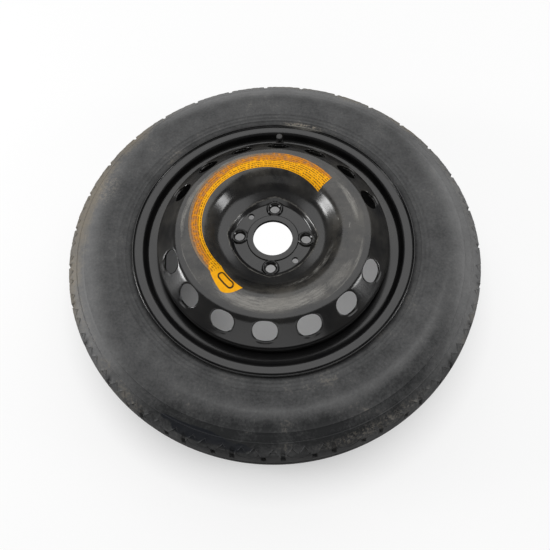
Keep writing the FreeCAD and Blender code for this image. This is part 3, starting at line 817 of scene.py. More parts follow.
    def shoulder_rows(self, phase: Array) -> list[Row]:
        """Rows of the shoulder, from the tread's block over the arc and the zigzag to the step below it.

        The notches fade out behind the zigzag, except the nick at the pitch's start, which cuts through it.
        The arc between two notches is a parabola, drawn as a fine groove, and the zigzag is a low ridge.

        Args:
            phase: Degrees of the columns in one pitch.

        Returns:
            The rows in order, each a distance along the section and a height above it.
        """
        edge, step = self.shoulder_edge(), float(self.at_radius(self.step_radius))
        apart = np.min([np.abs(phase - p) for p in self.notch_phases], axis=0)
        notch = -self.notch_depth * (1.0 - smooth_step(self.notch_half * 0.9, self.notch_half * 1.6, apart))
        bow = np.clip(1 - ((phase - self.arc_middle) / self.arc_half) ** 2, 0, 1)
        wide = phase < self.notch_phases[1]
        arc = edge + np.where(wide, self.arc_foot - self.arc_rise * bow, self.short_arc_foot)
        groove = np.minimum(notch, -self.arc_depth)
        zig = self.at_radius(self.zigzag(phase))
        nick = np.where(np.abs(phase - self.notch_phases[0]) < self.nick_reach, notch, 0.0)
        lost = self.ridge_loss * smooth_step(*self.ridge_loss_span, self.zigzag(phase))
        lip = np.where(nick < -1.0, self.nick_share * nick, self.ridge * (1.0 - lost))
        shallow = 0.5 * notch
        before = np.where(shallow < -0.3, shallow, 0.35)
        start, above, below = self.block_start, zig - self.ridge_half, zig + self.ridge_half
        past = arc + 1.0
        rows = [(start + (arc - 1.0 - start) * t, notch) for t in (0.0, 0.25, 0.5, 0.75, 1.0)]
        rows += [(arc - 0.4, groove), (arc + 0.4, groove), (past, notch)]
        rows += [(past + (above - past) * t, notch * (1 - 0.4 * t)) for t in (0.4, 0.75)]
        rows += [(above, before), (zig, lip), (below, 0.75 * nick)]
        fading = ((0.35, 0.3), (0.7, 0.0), (1.0, 0.0))
        return rows + [(below + (step - 0.8 - below) * t, f * nick) for t, f in fading]

    def lines(self) -> tuple[Array, Array]:
        """Work out the rows of half the outer face, from the tread's middle to the bead's inner edge.

        A row is a distance along the section and a height above it. Rows near the shoulder swing with the
        zigzag and with the arc that joins the notches, so those lines stay sharp.

        Returns:
            Distances and heights, each with a row of values for the columns of one pitch.
        """
        phase = self.phases()
        step, end = float(self.at_radius(self.step_radius)), self.gone[-1]
        low, high = self.groove_place - self.groove_half, self.groove_place + self.groove_half
        tread = [(s, 0.0) for s in (0.0, self.rib_half, low)]
        tread += [(s, -self.groove_depth) for s in (low + self.groove_bend, high - self.groove_bend)]
        tread += [(s, 0.0) for s in (high, *self.outer_rib)]
        wall = list(zip((step, step + self.step_width), self.step_lip))
        wall += [(self.at_radius(radius), height) for radius, height in self.wall_rows]
        wall += [(end - back, 0.0) for back in self.bead_rows]
        rows = tread + self.shoulder_rows(phase) + wall
        gone, height = (np.array([np.broadcast_to(row[i], phase.shape) for row in rows]) for i in (0, 1))
        return gone, height

    def surface(self) -> Surface:
        """Carry the rows round the wheel on both sides, and close them with the air chamber's wall.

        A point lies on the section at its row's distance, moved along the section's normal by its height.

        Returns:
            The closed tyre.
        """
        gone, height = self.lines()
        along = np.gradient(self.path, axis=0)
        along /= np.linalg.norm(along, axis=1, keepdims=True)
        line = np.concatenate([self.path, along], axis=1).T
        across, upright, lean_out, lean_up = (np.interp(gone, self.gone, values) for values in line)
        radius, side = across + height * lean_up, upright - height * lean_out
        inner = np.array(self.chamber)[:, :, None] * np.ones(gone.shape[1])
        half = np.stack([np.concatenate([radius, inner[:, 0]]), np.concatenate([side, inner[:, 1]])])
        lower = half[:, -2:0:-1] * np.array([1.0, -1.0])[:, None, None]
        loop = np.concatenate([half, lower], axis=1)
        turns = np.arange(self.pitches) * (360.0 / self.pitches)
        angles = np.radians((turns[:, None] + self.phases()).ravel())
        r, z = (np.tile(values, (1, self.pitches)) for values in loop)
        return polar_sheet(r, angles, z + MIDDLE_PLANE, ring_rows=True).outward()

    def fields(self, points: Array) -> dict[str, Array]:
        """Where the rubber has bloomed grey, carries painted light (a lighter far side and shoulders, a
        highlight on the near crest) and painted shade (a darker near side), is dusty, stained wet or scuffed;
        dust also lies along the rim.

        Args:
            points: Places in millimetres.

        Returns:
            Values at each point for each field that the rubber reads.
        """
        from_rim = 1 - smooth_step(*self.rim_dust_span, np.hypot(points[:, 0], points[:, 1]))
        upper = points[:, 2] > MIDDLE_PLANE
        return {
            "bloom_and_painted_light": self.bloom_and_painted_light + spots(self.bloom_and_painted_light_spots, points) - spots(self.painted_shade_spots, points),
            "dust": self.dust + self.rim_dust * from_rim + spots(self.dust_spots, points),
            "wet": spots(self.wet_spots, points) * upper,
            "scuff": spots(self.scuff_spots, points) * upper,
        }

    def build(self, rubber: Material) -> None:
        """Make the tyre."""
        shape = self.surface()
        fields = self.fields(shape.points)
        add_piece("tyre_moulded", shape, rubber, Body.WHEEL, ["tyre"], 50.0, fields)


@dataclass
class RimBarrel:
    """The rolled rim: flanges with turned-up lips, bead seats, the valve ledge and the drop well."""

    columns: int = 320
    step: float = 4.0
    outline: tuple[Corner, ...] = corner_table(
        (204.3, 57.0, 1.2), (204.3, 50.8, 1.2), (190.1, 50.8, 5.0), (188.9, 36.3, 3.0),
        (171.0, 33.0, 3.5), (171.0, -7.0, 6.0), (188.0, -26.8, 6.0), (190.1, -50.8, 5.0),
        (204.3, -50.8, 1.2), (204.3, -57.0, 1.2), (201.8, -57.0, 1.2), (201.8, -53.3, 3.4),
        (187.6, -53.3, 7.5), (185.5, -28.0, 8.5), (168.5, -8.2, 8.5), (168.5, 35.5, 1.2),
        (186.4, 39.3, 5.0), (187.6, 53.3, 6.0), (201.8, 53.3, 3.4), (201.8, 57.0, 1.2),
    )
    wear_spots: tuple[Spot, ...] = spot_table(
        (80.0, 203.0, 14.0, 4.0, 0.95), (200.0, 203.0, 30.0, 2.5, 0.35), (300.0, 203.0, 45.0, 2.2, 0.3),
    )
    well_edge: Pair = (172.0, 190.0)
    # Dust fades out towards the near side, whose well stays darker as painted shade.
    well_dust_and_near_shade_span: Pair = (-80.0, 120.0)
    dust: float = 0.04
    well_dust: float = 0.5

    def build(self, paint: Material) -> None:
        """Turn the section round the axis and dress it, with dust in the well on the valve's side; the well's
        near side stays darker as painted shade.

        Args:
            paint: The rim's finish.
        """
        profile = section(self.outline, self.step, closed=True) + np.array([0.0, MIDDLE_PLANE])
        surface = turn_section(profile, full_circle(self.columns), closed=True).outward()
        x, y, z = surface.points.T
        well = 1.0 - smooth_step(*self.well_edge, np.hypot(x, y))
        fields = {
            "wear_and_highlight": spots(self.wear_spots, surface.points) * (z > MIDDLE_PLANE),
            "dust": self.dust + self.well_dust * well * smooth_step(*self.well_dust_and_near_shade_span, y),
            "chalk": np.zeros(len(x)),
        }
        add_piece("rolled_rim", surface, paint, Body.WHEEL, ["rim_barrel"], 50.0, fields)


@dataclass
class PressedDisc:
    """The pressed disc: bored hub pad in a lobed recess, smooth bowl, crown, vented cone and skirt."""

    sheet: float = 3.5
    columns: int = 320
    bore: float = 29.05
    pad: float = 4.0
    ring_edge: float = 38.55
    ring_height: float = 1.5
    bolt_circle: float = 49.0
    bolt_hole: float = 7.25
    pin_hole: float = 4.5
    lobe_reach: float = 66.03
    lobe_round: float = 77.0
    lobe_slope: float = 40.0
    lip_height: float = 12.64
    foot_slope: float = 22.0
    foot_gap: float = 1.3
    boss_clear: float = 13.9
    bowl_rim: float = 74.0
    cone_start: float = 132.5
    cone_end: float = 162.7
    vent_circle: float = 149.23
    vent_slope: float = 40.0
    vent_half: Pair = (14.2, 16.5)
    vent_bend: float = 14.1
    vent_sectors: int = 16
    blank_sectors: tuple[int, ...] = (0, 8)
    hub_sectors: int = 8
    pin_sectors: tuple[int, ...] = (3, 7)
    line_step: float = 1.5
    ring_gap: float = 0.5
    boss_reach: float = 16.0
    seat_edge: float = 9.8
    boss_marks: Floats = (7.25, 9.7, 10.1, 10.7, 11.2, 12.8, 13.6)
    boss_heights: Floats = (5.0, 7.4, 7.5, 7.4, 7.0, 4.3, 3.4)
    bolt_rings: Floats = (0.0, 0.5, 1.2, 2.45, 2.9, 3.45, 4.1, 4.9, 5.6)
    pin_rings: Floats = (0.0, 0.25, 0.6, 1.2, 2.2)
    pin_rounding: Floats = (0.6, 0.2, 0.05)
    hub_steps: int = 12
    vent_shares: Floats = (0.0, 0.035, 0.09, 0.2, 0.4, 0.65, 0.85, 1.0)
    vent_rounding: Floats = (0.9, 0.3)
    cone_steps: int = 14
    hub_blend: Pair = (-2.0, 4.0)
    # A band of rubbed paint along the recess's lip that also paints its highlight line.
    lip_wear_and_highlight: Pair = (0.7, 1.3)
    crown_edge: Pair = (127.5, 131.0)
    # Painted shade: over this span towards the near side the cone gets less dust and rubbing, so it is
    # darker.
    near_shade_span: Pair = (20.0, -90.0)
    dust: float = 0.1
    crown_dust: float = 0.75
    crown_dust_span: Pair = (72.0, 102.0)
    # Less dust on the cone; the second value takes more off on the near side, as painted shade.
    cone_clean_and_near_shade: Pair = (0.45, 0.28)
    face: tuple[Corner, ...] = corner_table(
        (40.0, 2.13), (80.03, 18.3, 30.0), (99.0, 39.0, 24.0), (138.1, 39.0, 13.0), (168.3, 13.6, 5.0),
        (168.3, -23.0),
    )
    # Rubbed paint on the crown; the two narrow spots at 129.2 mm are painted highlight lines along the
    # crown's edge.
    wear_spots: tuple[Spot, ...] = spot_table(
        (264.0, 117.0, 46.0, 15.5, 0.9), (294.0, 117.0, 30.0, 14.5, 0.85),
        (322.0, 119.0, 24.0, 11.5, 0.6), (24.0, 120.5, 26.0, 7.0, 0.8), (342.0, 127.0, 22.0, 2.5, 0.6),
        (215.0, 129.2, 34.0, 2.0, 1.0), (325.0, 129.2, 36.0, 1.8, 0.95),
        (160.0, 127.5, 50.0, 5.5, 0.75), (118.0, 128.5, 30.0, 4.5, 0.65),
    )
    chalk_spots: tuple[Spot, ...] = spot_table(
        (318.0, 87.0, 42.0, 4.5, 0.35), (4.0, 109.0, 3.0, 2.0, 0.9), (12.0, 95.0, 1.6, 1.2, 0.9),
    )

    def __post_init__(self) -> None:
        """Draw the section of bowl, crown, cone and skirt."""
        self.line = section(self.face, self.line_step)

    def lobe(self, angle: Array) -> Array:
        """Radius of the recess's lobed edge: four arcs whose corners point at the bolts.

        Args:
            angle: Radians round the wheel.

        Returns:
            Millimetres from the axis.
        """
        half_chord = self.lobe_reach / math.sqrt(2)
        back = math.sqrt(self.lobe_round**2 - half_chord**2) - half_chord
        off = (angle % (math.pi / 2)) - math.pi / 4
        return np.sqrt(self.lobe_round**2 - (back * np.sin(off)) ** 2) - back * np.cos(off)

    def wall_foot(self, angle: Array) -> Array:
        """Radius at which the recess's wall meets the hub pad."""
        return self.lobe(angle) - (self.lip_height - self.pad) * math.tan(math.radians(self.lobe_slope))

    def wall_lip(self, angle: Array) -> Array:
        """Radius at which the recess's wall meets the bowl's sloping foot."""
        foot_rise = math.tan(math.radians(self.foot_slope))
        steeper = 1 / math.tan(math.radians(self.lobe_slope)) - foot_rise
        return self.lobe(angle) - (self.lobe_reach - self.lobe(angle)) * foot_rise / steeper

    def pad_edges(self, angle: Array) -> tuple[Array, Array]:
        """Radii between which the pad's patches lie: from bore ring to wall foot, clear of the bosses.

        Args:
            angle: Radians round the wheel.

        Returns:
            The inner and the outer radius in millimetres.
        """
        off = quarter_turn(angle)
        along, half = self.bolt_circle * np.cos(off), self.bolt_circle * np.sin(off)
        reach = np.sqrt(np.maximum(self.boss_clear**2 - half**2, 0.0))
        near = np.abs(half) < self.boss_clear
        start = np.minimum(self.ring_edge + self.ring_gap, np.where(near, along - reach, np.inf))
        end = np.maximum(self.wall_foot(angle) - self.foot_gap, np.where(near, along + reach, 0.0))
        return start, end

    def bore_rows(self, angle: Array) -> Array:
        """Radii of the rows from the bore to the pad's patches, close together at bore and ring edge.

        Args:
            angle: Radians round the wheel.

        Returns:
            A row of radii for each row of points.
        """
        start, _ = self.pad_edges(angle)
        wanted = [self.bore + d for d in (0.0, 0.5, 1.2, 2.5, 4.5)]
        wanted += [self.ring_edge + d for d in (-1.7, -1.3, -0.9, -0.5, -0.1, self.ring_gap)]
        shares = (1.0, 0.93, 0.85, 0.7, 0.5, 0.2, 0.16, 0.12, 0.08, 0.04, 0.0)
        return np.array([np.minimum(w, start - (start - self.bore) * s) for w, s in zip(wanted, shares)])

    def wall_rows(self, angle: Array) -> Array:
        """Radii of the rows from the pad's edge over the wall to the bowl, close together at foot and lip.

        Args:
            angle: Radians round the wheel.

        Returns:
            A row of radii for each row of points.
        """
        (_, edge), foot, lip = self.pad_edges(angle), self.wall_foot(angle), self.wall_lip(angle)
        wanted = [edge, foot - 0.6, foot - 0.2, foot + 0.2, foot + 0.7]
        wanted += [foot + (lip - foot) * s for s in (0.35, 0.65)] + [lip - 0.7, lip - 0.25, lip + 0.1]
        shares = (0.0, 0.1, 0.2, 0.3, 0.4, 0.52, 0.64, 0.76, 0.88, 1.0)
        rows = [np.maximum(w, edge + (lip + 0.1 - edge) * s) for w, s in zip(wanted, shares)]
        past = lip + 1.1
        rows += [lip + 0.5, past]
        rows += [past + (self.bowl_rim - past) * s for s in (0.2, 0.45, 0.7, 1.0)]
        return np.array(rows)

    def height(self, radius: Array, angle: Array) -> Array:
        """Height of the upper face inside the skirt.

        The lobed wall rises from the pad at its slope, the bowl and cone follow the section, and the lower
        of the two counts. The pad, bosses and bore ring stand above that, with every inner corner rounded.

        Args:
            radius: Millimetres from the axis.
            angle: Radians round the wheel.

        Returns:
            Millimetres above the hub's mounting face.
        """
        outer = np.interp(radius, self.line[:, 0], self.line[:, 1])
        wall = self.lip_height + (radius - self.lobe(angle)) / math.tan(math.radians(self.lobe_slope))
        shape = soft_max(soft_min(outer, wall, 0.7), self.pad + 0.0 * radius, 1.1)
        fall = smooth_step(self.ring_edge - 1.6, self.ring_edge - 0.1, radius)
        ring = self.pad + self.ring_height * (1 - fall)
        shape = np.where(radius < self.ring_edge, np.maximum(shape, ring), shape)
        turn = quarter_turn(angle)
        apart = np.hypot(radius * np.cos(turn) - self.bolt_circle, radius * np.sin(turn))
        boss = np.interp(apart, self.boss_marks, self.boss_heights)
        seat = np.where(apart < self.seat_edge, boss, soft_max(shape, boss, 0.8))
        return np.where(apart < self.boss_reach, seat, shape)

    def patch(self, radius: Array, angle: Array, drop: Array | float = 0.0, ring: bool = True) -> Surface:
        """A piece of the face over a grid of places.

        Args:
            radius: Millimetres from the axis.
            angle: Radians round the wheel.
            drop: How far the grid's rows are rounded down towards a hole.
            ring: Whether the last column joins the first.

        Returns:
            The patch.
        """
        radius, angle = np.broadcast_arrays(radius, angle)
        return polar_sheet(radius, angle, self.height(radius, angle) - drop, ring_columns=ring)

    def sector(self, number: int, sectors: int) -> tuple[float, Array]:
        """Middle angle of a sector of the disc, and the angles of the columns across it."""
        share, width = self.columns // sectors, FULL_TURN / sectors
        return number * width, number * width + (np.arange(share + 1) / share - 0.5) * width

    @staticmethod
    def patch_edge(inner: Array, outer: Array, angles: Array, steps: int) -> Array:
        """Points round a patch: along its inner arc, out along one side, back along the outer arc and in.

        Args:
            inner: Radii of its inner arc.
            outer: Radii of its outer arc.
            angles: Angles of both.
            steps: Number of steps along each side.

        Returns:
            A row of radius and angle for each point.
        """
        up = np.linspace(0.0, 1.0, steps + 1)[:, None]
        near, far = np.stack([inner, angles], axis=1), np.stack([outer, angles], axis=1)
        first, last = (near[i] + (far[i] - near[i]) * up for i in (0, -1))
        return np.concatenate([near[:-1], last[:-1], far[:0:-1], first[:0:-1]])

    def hub_patches(self) -> list[Surface]:
        """The pad's eight sectors: four with a bolt hole, two with a locating hole, two plain.

        Round a hole lie circles, then rings that pass from the last circle to the sector's edge.

        Returns:
            The patches.
        """
        patches = []
        for n in range(self.hub_sectors):
            middle, angles = self.sector(n, self.hub_sectors)
            inner, outer = self.pad_edges(angles)
            if n % 2 and n not in self.pin_sectors:
                up = np.linspace(0.0, 1.0, self.hub_steps + 1)[:, None]
                patches.append(self.patch(inner + (outer - inner) * up, angles, ring=False))
                continue
            size, circles, rounding = self.bolt_hole, self.bolt_rings, ()
            if n % 2:
                size, circles, rounding = self.pin_hole, self.pin_rings, self.pin_rounding
            rim = self.patch_edge(inner, outer, angles, self.hub_steps)
            centre = self.bolt_circle * np.array([math.cos(middle), math.sin(middle)])
            flat = rim[:, :1] * np.stack([np.cos(rim[:, 1]), np.sin(rim[:, 1])], axis=1) - centre
            reach = np.linalg.norm(flat, axis=1, keepdims=True)
            rings = [centre + flat / reach * (size + c) for c in circles]
            last = rings[-1]
            rings += [last + (flat + centre - last) * t for t in (0.2, 0.42, 0.66, 0.84, 1.0)]
            x, y = np.moveaxis(np.stack(rings), -1, 0)
            drop = np.zeros((len(rings), 1))
            drop[: len(rounding), 0] = rounding
            patches.append(self.patch(np.hypot(x, y), np.arctan2(y, x), drop))
        return patches

    def vent_outline(self, heading: Array) -> Array:
        """Distance from a vent's centre to its rounded-oblong edge, in each direction.

        Args:
            heading: Radians from the outward direction.

        Returns:
            Millimetres.
        """
        straight = np.array(self.vent_half) - self.vent_bend
        sweep = np.linspace(0.0, math.pi / 2, 60)
        corner = straight + self.vent_bend * np.stack([np.cos(sweep), np.sin(sweep)], axis=1)
        signs = np.array([(1, 1), (-1, 1), (-1, -1), (1, -1)])
        a, b = np.concatenate([(corner if s[0] * s[1] > 0 else corner[::-1]) * s for s in signs]).T
        return np.interp(heading, np.arctan2(b, a), np.hypot(a, b), period=FULL_TURN)

    def cone_patches(self) -> list[Surface]:
        """The cone's sectors, each with a vent except the two blank ones.

        Round a vent lie rings that pass from its outline to the sector's edge; the first are rounded down.

        Returns:
            The patches.
        """
        slope = math.cos(math.radians(self.vent_slope))
        shares = np.array(self.vent_shares)[:, None, None]
        drop = np.zeros((len(shares), 1))
        drop[: len(self.vent_rounding), 0] = self.vent_rounding
        patches = []
        for n in range(self.vent_sectors):
            middle, angles = self.sector(n, self.vent_sectors)
            if n in self.blank_sectors:
                rows = np.linspace(self.cone_start, self.cone_end, self.cone_steps + 1)[:, None]
                patches.append(self.patch(rows, angles, ring=False))
                continue
            inner, outer = np.full_like(angles, self.cone_start), np.full_like(angles, self.cone_end)
            rim = self.patch_edge(inner, outer, angles, self.cone_steps)
            along, across = (rim[:, 0] - self.vent_circle) / slope, rim[:, 0] * (rim[:, 1] - middle)
            heading = np.arctan2(across, along)
            edge = self.vent_outline(heading)
            reach = self.vent_circle + edge * np.cos(heading) * slope
            hole = np.stack([reach, middle + edge * np.sin(heading) / reach], axis=1)
            radius, angle = np.moveaxis(hole + (rim - hole) * shares, -1, 0)
            patches.append(self.patch(radius, angle, drop))
        return patches

    def upper_face(self) -> Surface:
        """All patches and rings of the face, welded into one sheet.

        Returns:
            The sheet, its upper side out.
        """
        angles = (np.arange(self.columns) / self.columns - 0.5 / self.hub_sectors) * FULL_TURN
        inside = self.line[:, 0]
        bowl = inside[(inside > self.bowl_rim + 0.4) & (inside < self.cone_start - 0.4)]
        bowl_rows = np.concatenate([[self.bowl_rim], bowl, [self.cone_start]])
        pieces = [self.patch(self.bore_rows(angles), angles)] + self.hub_patches()
        pieces += [self.patch(self.wall_rows(angles), angles), self.patch(bowl_rows[:, None], angles)]
        pieces += self.cone_patches()
        start = np.array([[self.cone_end, np.interp(self.cone_end, inside, self.line[:, 1])]])
        skirt = np.concatenate([start, self.line[inside > self.cone_end + 0.1]])
        pieces.append(turn_section(skirt, angles, closed=False))
        return join([piece.upward() for piece in pieces])

    def fields(self, points: Array, top: Array) -> dict[str, Array]:
        """Where the paint is rubbed to steel, dusty or smeared; a rubbed band along the recess's lip also
        paints its highlight line, and the cone's near side, with less dust and rubbing, is darker as painted
        shade.

        Args:
            points: Places in millimetres.
            top: Which of them lie on the upper face.

        Returns:
            Values at each point for each field that the paint reads.
        """
        radius, angle = np.hypot(points[:, 0], points[:, 1]), np.arctan2(points[:, 1], points[:, 0])
        strength, width = self.lip_wear_and_highlight
        rubbed = strength * np.exp(-(((radius - self.wall_lip(angle)) / width) ** 2))
        # near marks the near side, where the cone is kept darker as painted shade.
        near, cone = smooth_step(*self.near_shade_span, points[:, 1]), smooth_step(*self.crown_edge, radius)
        settled = self.crown_dust * smooth_step(*self.crown_dust_span, radius)
        return {
            "wear_and_highlight": np.maximum(spots(self.wear_spots, points) * (1 - cone * near), rubbed) * top,
            "dust": self.dust + settled - (self.cone_clean_and_near_shade[0] + self.cone_clean_and_near_shade[1] * near) * cone,
            "chalk": spots(self.chalk_spots, points) * top,
        }

    def build(self, paint: Material) -> None:
        """Make the face, give it the sheet's thickness with a flat hub face below, and dress it.

        Args:
            paint: The disc's finish.
        """
        face = self.upper_face()
        x, y, _ = face.points.T
        offset = face.points - face.normals() * self.sheet
        hub = np.stack([x, y, np.zeros(len(x))], axis=1)
        beyond = np.hypot(x, y) - self.wall_foot(np.arctan2(y, x))
        under = hub + (offset - hub) * smooth_step(*self.hub_blend, beyond)[:, None]
        shell = thicken(face, under)
        fields = self.fields(shell.points, np.arange(len(shell.points)) < len(x))
        add_piece("pressed_disc", shell, paint, Body.WHEEL, ["wheel_disc"], 38.0, fields)


@dataclass
class CrownLabel:
    """The printed film on the crown: an arc set a little off the wheel's centre, with one rounded end."""

    disc: PressedDisc
    thickness: float = 0.2
    inner: Triple = (90.0, 15.5, 131.0)
    outer: Triple = (113.0, 16.0, 112.0)
    start: float = 46.0
    end: float = 250.5
    rows: int = 40
    columns: int = 440
    round_off: float = 12.5
    tab_angles: Pair = (222.0, 250.0)
    tab_swing: float = 17.0
    tab_depth: float = 8.0
    tail_start: float = 224.0
    strip_angles: Floats = (46.0, 70.0, 82.0, 94.0, 115.0, 138.0, 160.0, 190.0, 214.0, 224.0)
    strip_depths: Floats = (24.0, 17.0, 13.0, 11.5, 12.5, 7.0, 6.0, 4.5, 6.0, 24.0)
    loss_angles: Pair = (80.0, 110.0)
    loss_depths: Pair = (6.5, 0.5)
    bare_edge: float = 1.2
    frame_place: Pair = (236.0, 7.4)
    frame_radius: float = 100.0
    frame_half: Pair = (13.0, 4.8)
    frame_line: float = 1.1

    def build(self, film: Material) -> None:
        """Lay the film on the crown and mark its strips.

        A point's radius runs from the inner to the outer edge, two circles that lie off the wheel's centre.
        Over the last few degrees the outer edge comes in along a rounded curve. The height is the disc's own,
        plus the film.

        Args:
            film: The film's finish.
        """
        share = np.linspace(0.0, 1.0, self.rows)[:, None]
        angle = np.linspace(self.start, self.end, self.columns)[None]
        tabbed = np.clip((angle - self.tab_angles[0]) / (self.tab_angles[1] - self.tab_angles[0]), 0.0, 1.0)
        inner = self.edge(self.inner, angle) + self.tab_swing * tabbed
        outer = self.edge(self.outer, angle) + (self.tab_swing + self.tab_depth) * tabbed
        near_end = np.clip((angle - self.end + self.round_off) / self.round_off, 0.0, 1.0)
        depth = share * (outer - inner) * (1.0 - 0.98 * near_end**1.6)
        radius, turn = inner + depth, np.radians(angle)
        base = np.interp(radius, self.disc.line[:, 0], self.disc.line[:, 1])
        sheet = polar_sheet(radius, turn, base + self.thickness, ring_columns=False)
        shell = thicken(sheet, sheet.points - np.array([0.0, 0.0, self.thickness]))
        strip = np.interp(angle, self.strip_angles, self.strip_depths)
        weathered = smooth_step(-1.0, 1.5, depth - strip)
        lost = smooth_step(*self.loss_depths, outer - radius) * smooth_step(*self.loss_angles, angle)
        tail = smooth_step(self.tail_start - 1.0, self.tail_start + 1.0, angle)
        faded = 0.5 * weathered * (1.0 - tail) + 0.3 * lost * (angle < self.tail_start) + 0.12 * tail
        fields = {
            "along": turn * self.inner[0],
            "across": depth,
            "faded": faded,
            "print": (1.0 - tail) * (1.0 - 0.35 * weathered) * (depth > self.bare_edge),
            "mark": self.frame(angle, depth),
        }
        doubled = {name: np.tile(np.broadcast_to(v, radius.shape).ravel(), 2) for name, v in fields.items()}
        add_piece("crown_film", shell, film, Body.WHEEL, ["crown_label"], 60.0, doubled)

    @staticmethod
    def edge(circle: Triple, angle: Array) -> Array:
        """Radius of an edge: a mean radius, plus an offset that is greatest at one angle."""
        return circle[0] + circle[1] * np.cos(np.radians(angle - circle[2]))

    def frame(self, angle: Array, depth: Array) -> Array:
        """Outline of the empty rounded frame at the film's end: high where a point lies near that outline.

        Args:
            angle: Degrees round the wheel.
            depth: Millimetres from the film's inner edge.

        Returns:
            One on the outline, falling to nothing beside it.
        """
        corner = 0.9 * min(self.frame_half)
        off = np.radians(angle - self.frame_place[0]) * self.frame_radius
        along = np.abs(off) - self.frame_half[0] + corner
        across = np.abs(depth - self.frame_place[1]) - self.frame_half[1] + corner
        apart = np.hypot(np.maximum(along, 0.0), np.maximum(across, 0.0)) - corner
        return 1.0 - smooth_step(self.frame_line - 0.15, self.frame_line + 0.25, np.abs(apart))


@dataclass
class Valve:
    """The snap-in valve, square on the rim's ledge: rubber body, brass stem with its core, and screw cap."""

    foot: Triple = (0.0, 179.0, -3.26764)
    lean: float = 12.0
    columns: int = 96
    flutes: int = 24
    flute_depth: float = 0.28
    flute_span: Pair = (15.0, 26.0)
    flute_side: float = 4.7
    roof_edge: float = 0.6
    roof_span: Pair = (25.1, 27.1)
    step: float = 0.5
    rubber_outline: tuple[Corner, ...] = corner_table(
        (3.05, -6.2), (8.2, -6.2, 0.8), (8.2, -2.8, 0.8), (5.45, -2.8, 0.2), (5.45, 0.1, 0.2),
        (6.9, 0.1, 0.6), (6.9, 3.0, 1.0), (4.9, 7.0, 6.0), (4.6, 12.5, 0.5), (3.05, 12.5),
    )
    cap_outline: tuple[Corner, ...] = corner_table(
        (4.1, 14.7), (4.85, 14.7, 0.25), (4.85, 27.1, 1.1), (0.6, 27.1), (0.6, 25.1), (4.1, 25.1, 0.3),
    )

    def stand(self, points: Array) -> Array:
        """Move points from the valve's own frame, with its axis up, to their place on the ledge.

        Args:
            points: Points in millimetres, with the valve's foot at 0.

        Returns:
            The same points in the wheel's frame.
        """
        lean = math.radians(self.lean)
        sine, cosine = math.sin(lean), math.cos(lean)
        turn = np.array([[1.0, 0.0, 0.0], [0.0, cosine, -sine], [0.0, sine, cosine]])
        return points @ turn.T + np.array(self.foot)

    def turned(self, outline: Sequence[Corner], flutes: bool = False) -> Surface:
        """Turn a closed outline round the valve's axis, with shallow flutes on its side if asked.

        A flute's depth follows a cosine round the axis and fades out below the top and above the foot.

        Args:
            outline: The outline's corners.
            flutes: Whether its side is fluted.

        Returns:
            The closed shape in its place on the ledge.
        """
        profile = section(outline, self.step, closed=True)
        angles = full_circle(self.columns)
        surface = turn_section(profile, angles, closed=True)
        points = surface.points
        if flutes:
            radius = np.hypot(points[:, 0], points[:, 1])
            (low, high), z = self.flute_span, points[:, 2]
            side = smooth_step(low, low + 1.0, z) * (1 - smooth_step(high - 1.0, high, z))
            side *= radius > self.flute_side
            wave = 0.5 - 0.5 * np.cos(np.arctan2(points[:, 1], points[:, 0]) * self.flutes)
            points[:, :2] *= (1 - self.flute_depth * wave * side / np.maximum(radius, 1.0))[:, None]
        return Surface(self.stand(points), surface.quads).outward()

    def roof(self) -> Surface:
        """The disc that fills the middle of the cap's roof, closed above and below by a point at its centre.

        Returns:
            The closed disc in its place.
        """
        profile = np.array([[self.roof_edge, z] for z in self.roof_span])
        angles = full_circle(self.columns)
        plug = turn_section(profile, angles, closed=False)
        count = self.columns
        middle = np.array([[0.0, 0.0, z] for z in self.roof_span])
        around = np.arange(count)
        beside = (around + 1) % count
        low = np.stack([beside, around, np.full(count, 2 * count)], axis=1)
        high = np.stack([around + count, beside + count, np.full(count, 2 * count + 1)], axis=1)
        points = self.stand(np.concatenate([plug.points, middle]))
        return Surface(points, plug.quads, np.concatenate([low, high])).outward()

    def build(self, rubber: Material, cap: Material) -> None:
        """Make the rubber body and the cap; the stem, core and washer are the frame's own.

        Args:
            rubber: The body's finish.
            cap: The cap's finish.
        """
        sleeve, shell = self.turned(self.rubber_outline), self.turned(self.cap_outline, flutes=True)
        add_piece("valve_body", sleeve, rubber, Body.WHEEL, ["valve_rubber"])
        add_piece("screw_cap", shell, cap, Body.CAP, ["valve_cap"])
        add_piece("cap_crown", self.roof(), cap, Body.CAP, ["valve_cap"])


def dress_node(node: str, material: Material) -> None:
    """Give one of the frame's own pieces its finish."""
    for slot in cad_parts[node].material_slots:
        slot.material = material
    log.info("%s: dressed", node)


# Studio


@dataclass(frozen=True)
class Lamp:
    """A soft rectangular lamp that faces the wheel: place and sides in millimetres, power in watts."""

    name: str
    place: Triple
    size: Pair
    power: float

    def hang(self) -> None:
        """Put the lamp into the scene."""
        light = bpy.data.lights.new(self.name, "AREA")
        light.shape = "RECTANGLE"
        light.size, light.size_y = (s * MM for s in self.size)
        light.energy = self.power
        lamp = into_scene(self.name, light)
        lamp.location = Vector(self.place) * MM
        lamp.rotation_euler = (-lamp.location).to_track_quat("-Z", "Y").to_euler()


